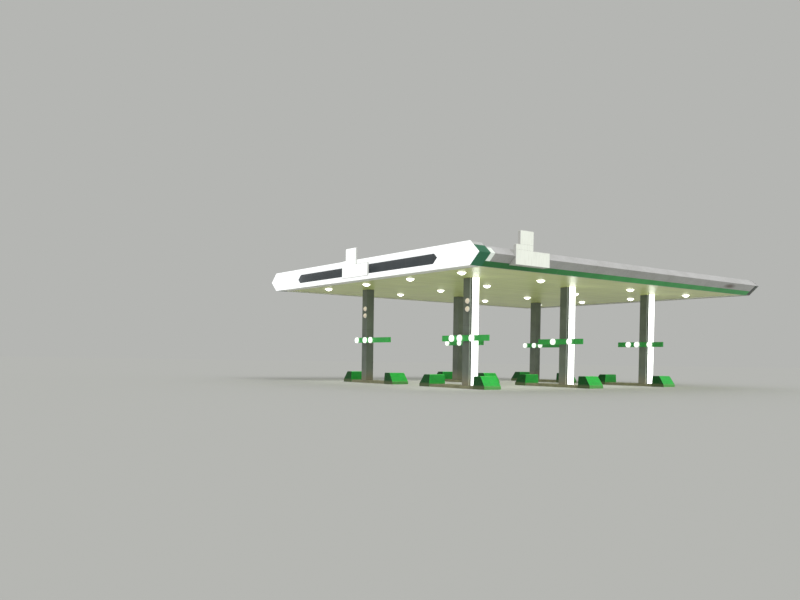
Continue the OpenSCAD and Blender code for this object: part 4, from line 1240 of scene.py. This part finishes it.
def makeSignTrims():
    caps, joints, screws = bmesh.new(), bmesh.new(), bmesh.new()
    cap, proud, back = signTrim["cap"], signTrim["proud"], -signTrim["capBack"]
    boxTop, panelTop = signTrim["boxTop"], signTrim["panelTop"]
    for nodeName, size in signSizes.items():
        path = signPath(size)
        rings = []
        for outer, inner in zip(insetPath(path, -signTrim["capOut"]), insetPath(path, cap)):
            corners = ((outer, proud), (outer, back), (inner, back), (inner, proud))
            rings.append([signPoint(nodeName, *place, out) for place, out in corners])
        addLoft(caps, rings, closed=True)
        bladeLeft = size["panel"] - size["blade"]
        addSignJoint(joints, nodeName, cap, size["panel"] - cap, boxTop)
        addSignJoint(joints, nodeName, bladeLeft, size["panel"] - cap, panelTop)
        for v in signTrim["screwHeights"]:
            left = 0 if v < panelTop else bladeLeft
            right = size["box"] if v < boxTop else size["panel"]
            for u, way in ((left, -1), (right, 1)):
                outward = (0, way, 0) if size["sideways"] else (way, 0, 0)
                spot = signPoint(nodeName, u, v, -signTrim["screwBack"])
                addScrew(screws, spot, outward, signTrim["screw"])
    placePiece("signTrimCaps", caps, "trim")
    placePiece("signJoints", joints, "paleSealant")
    placePiece("signScrews", screws, "screws")


makeSignTrims()
print("signs trimmed")

# Stage: pale floor and backdrop, soft light from the side with the signs, and the viewpoint
stage = {"floor": "#b1b2ae", "floorRadius": 400.0, "floorDepth": 0.2, "floorSides": 96,
         "backdrop": "#b5b6b3",
         "skyColour": (1.0, 1.0, 1.0, 1.0), "skyLight": 0.8, "keyStrength": 1.2,
         "keyFrom": (1.0, -0.1, 0.95), "keySpread": 32.0, "fillPower": 600.0, "fillSize": (16.0, 18.0),
         "fillAt": (-1.5, -2.0, 5.9), "fillSpread": 75.0}


def makeFloor():
    mesh = bmesh.new()
    radius, count = stage["floorRadius"], stage["floorSides"]
    angles = [2 * math.pi * i / count for i in range(count)]
    ring = [(radius * math.cos(a), radius * math.sin(a)) for a in angles]
    addLoft(mesh, [[(x, y, z) for x, y in ring] for z in (-stage["floorDepth"], 0.0)])
    material, tree, shader, _ = newMaterial("stageFloor")
    plug(tree, shader, {"Base Color": stage["floor"], "Roughness": 1.0, "Specular IOR Level": 0.0})
    data = bpy.data.meshes.new("stageFloor")
    mesh.to_mesh(data)
    mesh.free()
    data.materials.append(material)
    floor = bpy.data.objects.new("stageFloor", data)
    bpy.context.scene.collection.objects.link(floor)


def makeWorld():
    world = bpy.data.worlds.new("studio")
    bpy.context.scene.world = world
    world.use_nodes = True
    tree = world.node_tree
    tree.nodes.clear()
    rays = tree.nodes.new("ShaderNodeLightPath").outputs
    seen = addNode(tree, "ShaderNodeMath", {0: rays["Is Camera Ray"], 1: rays["Is Glossy Ray"]},
                   operation="MAXIMUM")
    seenThrough = addNode(tree, "ShaderNodeMath", {0: seen, 1: rays["Is Transmission Ray"]},
                          operation="MAXIMUM")
    light = addNode(tree, "ShaderNodeBackground", {"Color": stage["skyColour"],
                                                   "Strength": stage["skyLight"]})
    backdrop = addNode(tree, "ShaderNodeBackground", {"Color": stage["backdrop"], "Strength": 1.0})
    mixed = addNode(tree, "ShaderNodeMixShader", {0: seenThrough, 1: light, 2: backdrop})
    tree.links.new(mixed, tree.nodes.new("ShaderNodeOutputWorld").inputs["Surface"])


def makeLights():
    lamp = bpy.data.lights.new("keyLight", "SUN")
    lamp.energy = stage["keyStrength"]
    lamp.angle = math.radians(stage["keySpread"])
    keyLight = bpy.data.objects.new("keyLight", lamp)
    keyLight.rotation_mode = "QUATERNION"
    keyLight.rotation_quaternion = Vector(stage["keyFrom"]).to_track_quat("Z", "Y")
    bpy.context.scene.collection.objects.link(keyLight)

    # Soft fill from the roof downwards, as the canopy's own lamps give
    lamp = bpy.data.lights.new("fillLight", "AREA")
    lamp.shape = "RECTANGLE"
    lamp.size, lamp.size_y = stage["fillSize"]
    lamp.energy = stage["fillPower"]
    lamp.spread = math.radians(stage["fillSpread"])
    fillLight = bpy.data.objects.new("fillLight", lamp)
    fillLight.location = stage["fillAt"]
    fillLight.visible_camera = False
    fillLight.visible_glossy = False
    bpy.context.scene.collection.objects.link(fillLight)


makeFloor()
makeWorld()
makeLights()

viewpoint = {"place": (37.4477, -36.1652, 1.544), "yaw": 0.9392, "pitch": -0.0252, "roll": 0.0145,
             "focalPixels": 780.97, "middleRow": 378.97, "width": 800, "height": 600, "sensor": 36.0,
             "clipEnd": 2000.0}


def makeCamera():
    yaw, pitch, roll = viewpoint["yaw"], viewpoint["pitch"], viewpoint["roll"]
    width, height = viewpoint["width"], viewpoint["height"]
    ahead = Vector((-math.sin(yaw), math.cos(yaw), 0))
    right = Vector((math.cos(yaw), math.sin(yaw), 0))
    up = Vector((0, 0, 1))
    look = ahead * math.cos(pitch) + up * math.sin(pitch)
    top = up * math.cos(pitch) - ahead * math.sin(pitch)
    side = right * math.cos(roll) + top * math.sin(roll)
    head = top * math.cos(roll) - right * math.sin(roll)
    data = bpy.data.cameras.new("camera")
    data.sensor_width = viewpoint["sensor"]
    data.lens = viewpoint["focalPixels"] / width * data.sensor_width
    data.shift_y = (viewpoint["middleRow"] - height / 2) / width
    data.clip_end = viewpoint["clipEnd"]
    camera = bpy.data.objects.new("camera", data)
    turn = Matrix((side, head, -look)).transposed()
    camera.matrix_world = Matrix.Translation(viewpoint["place"]) @ turn.to_4x4()
    bpy.context.scene.collection.objects.link(camera)
    bpy.context.scene.camera = camera
    bpy.context.scene.view_settings.view_transform = "Standard"


makeCamera()
print("stage and camera set")
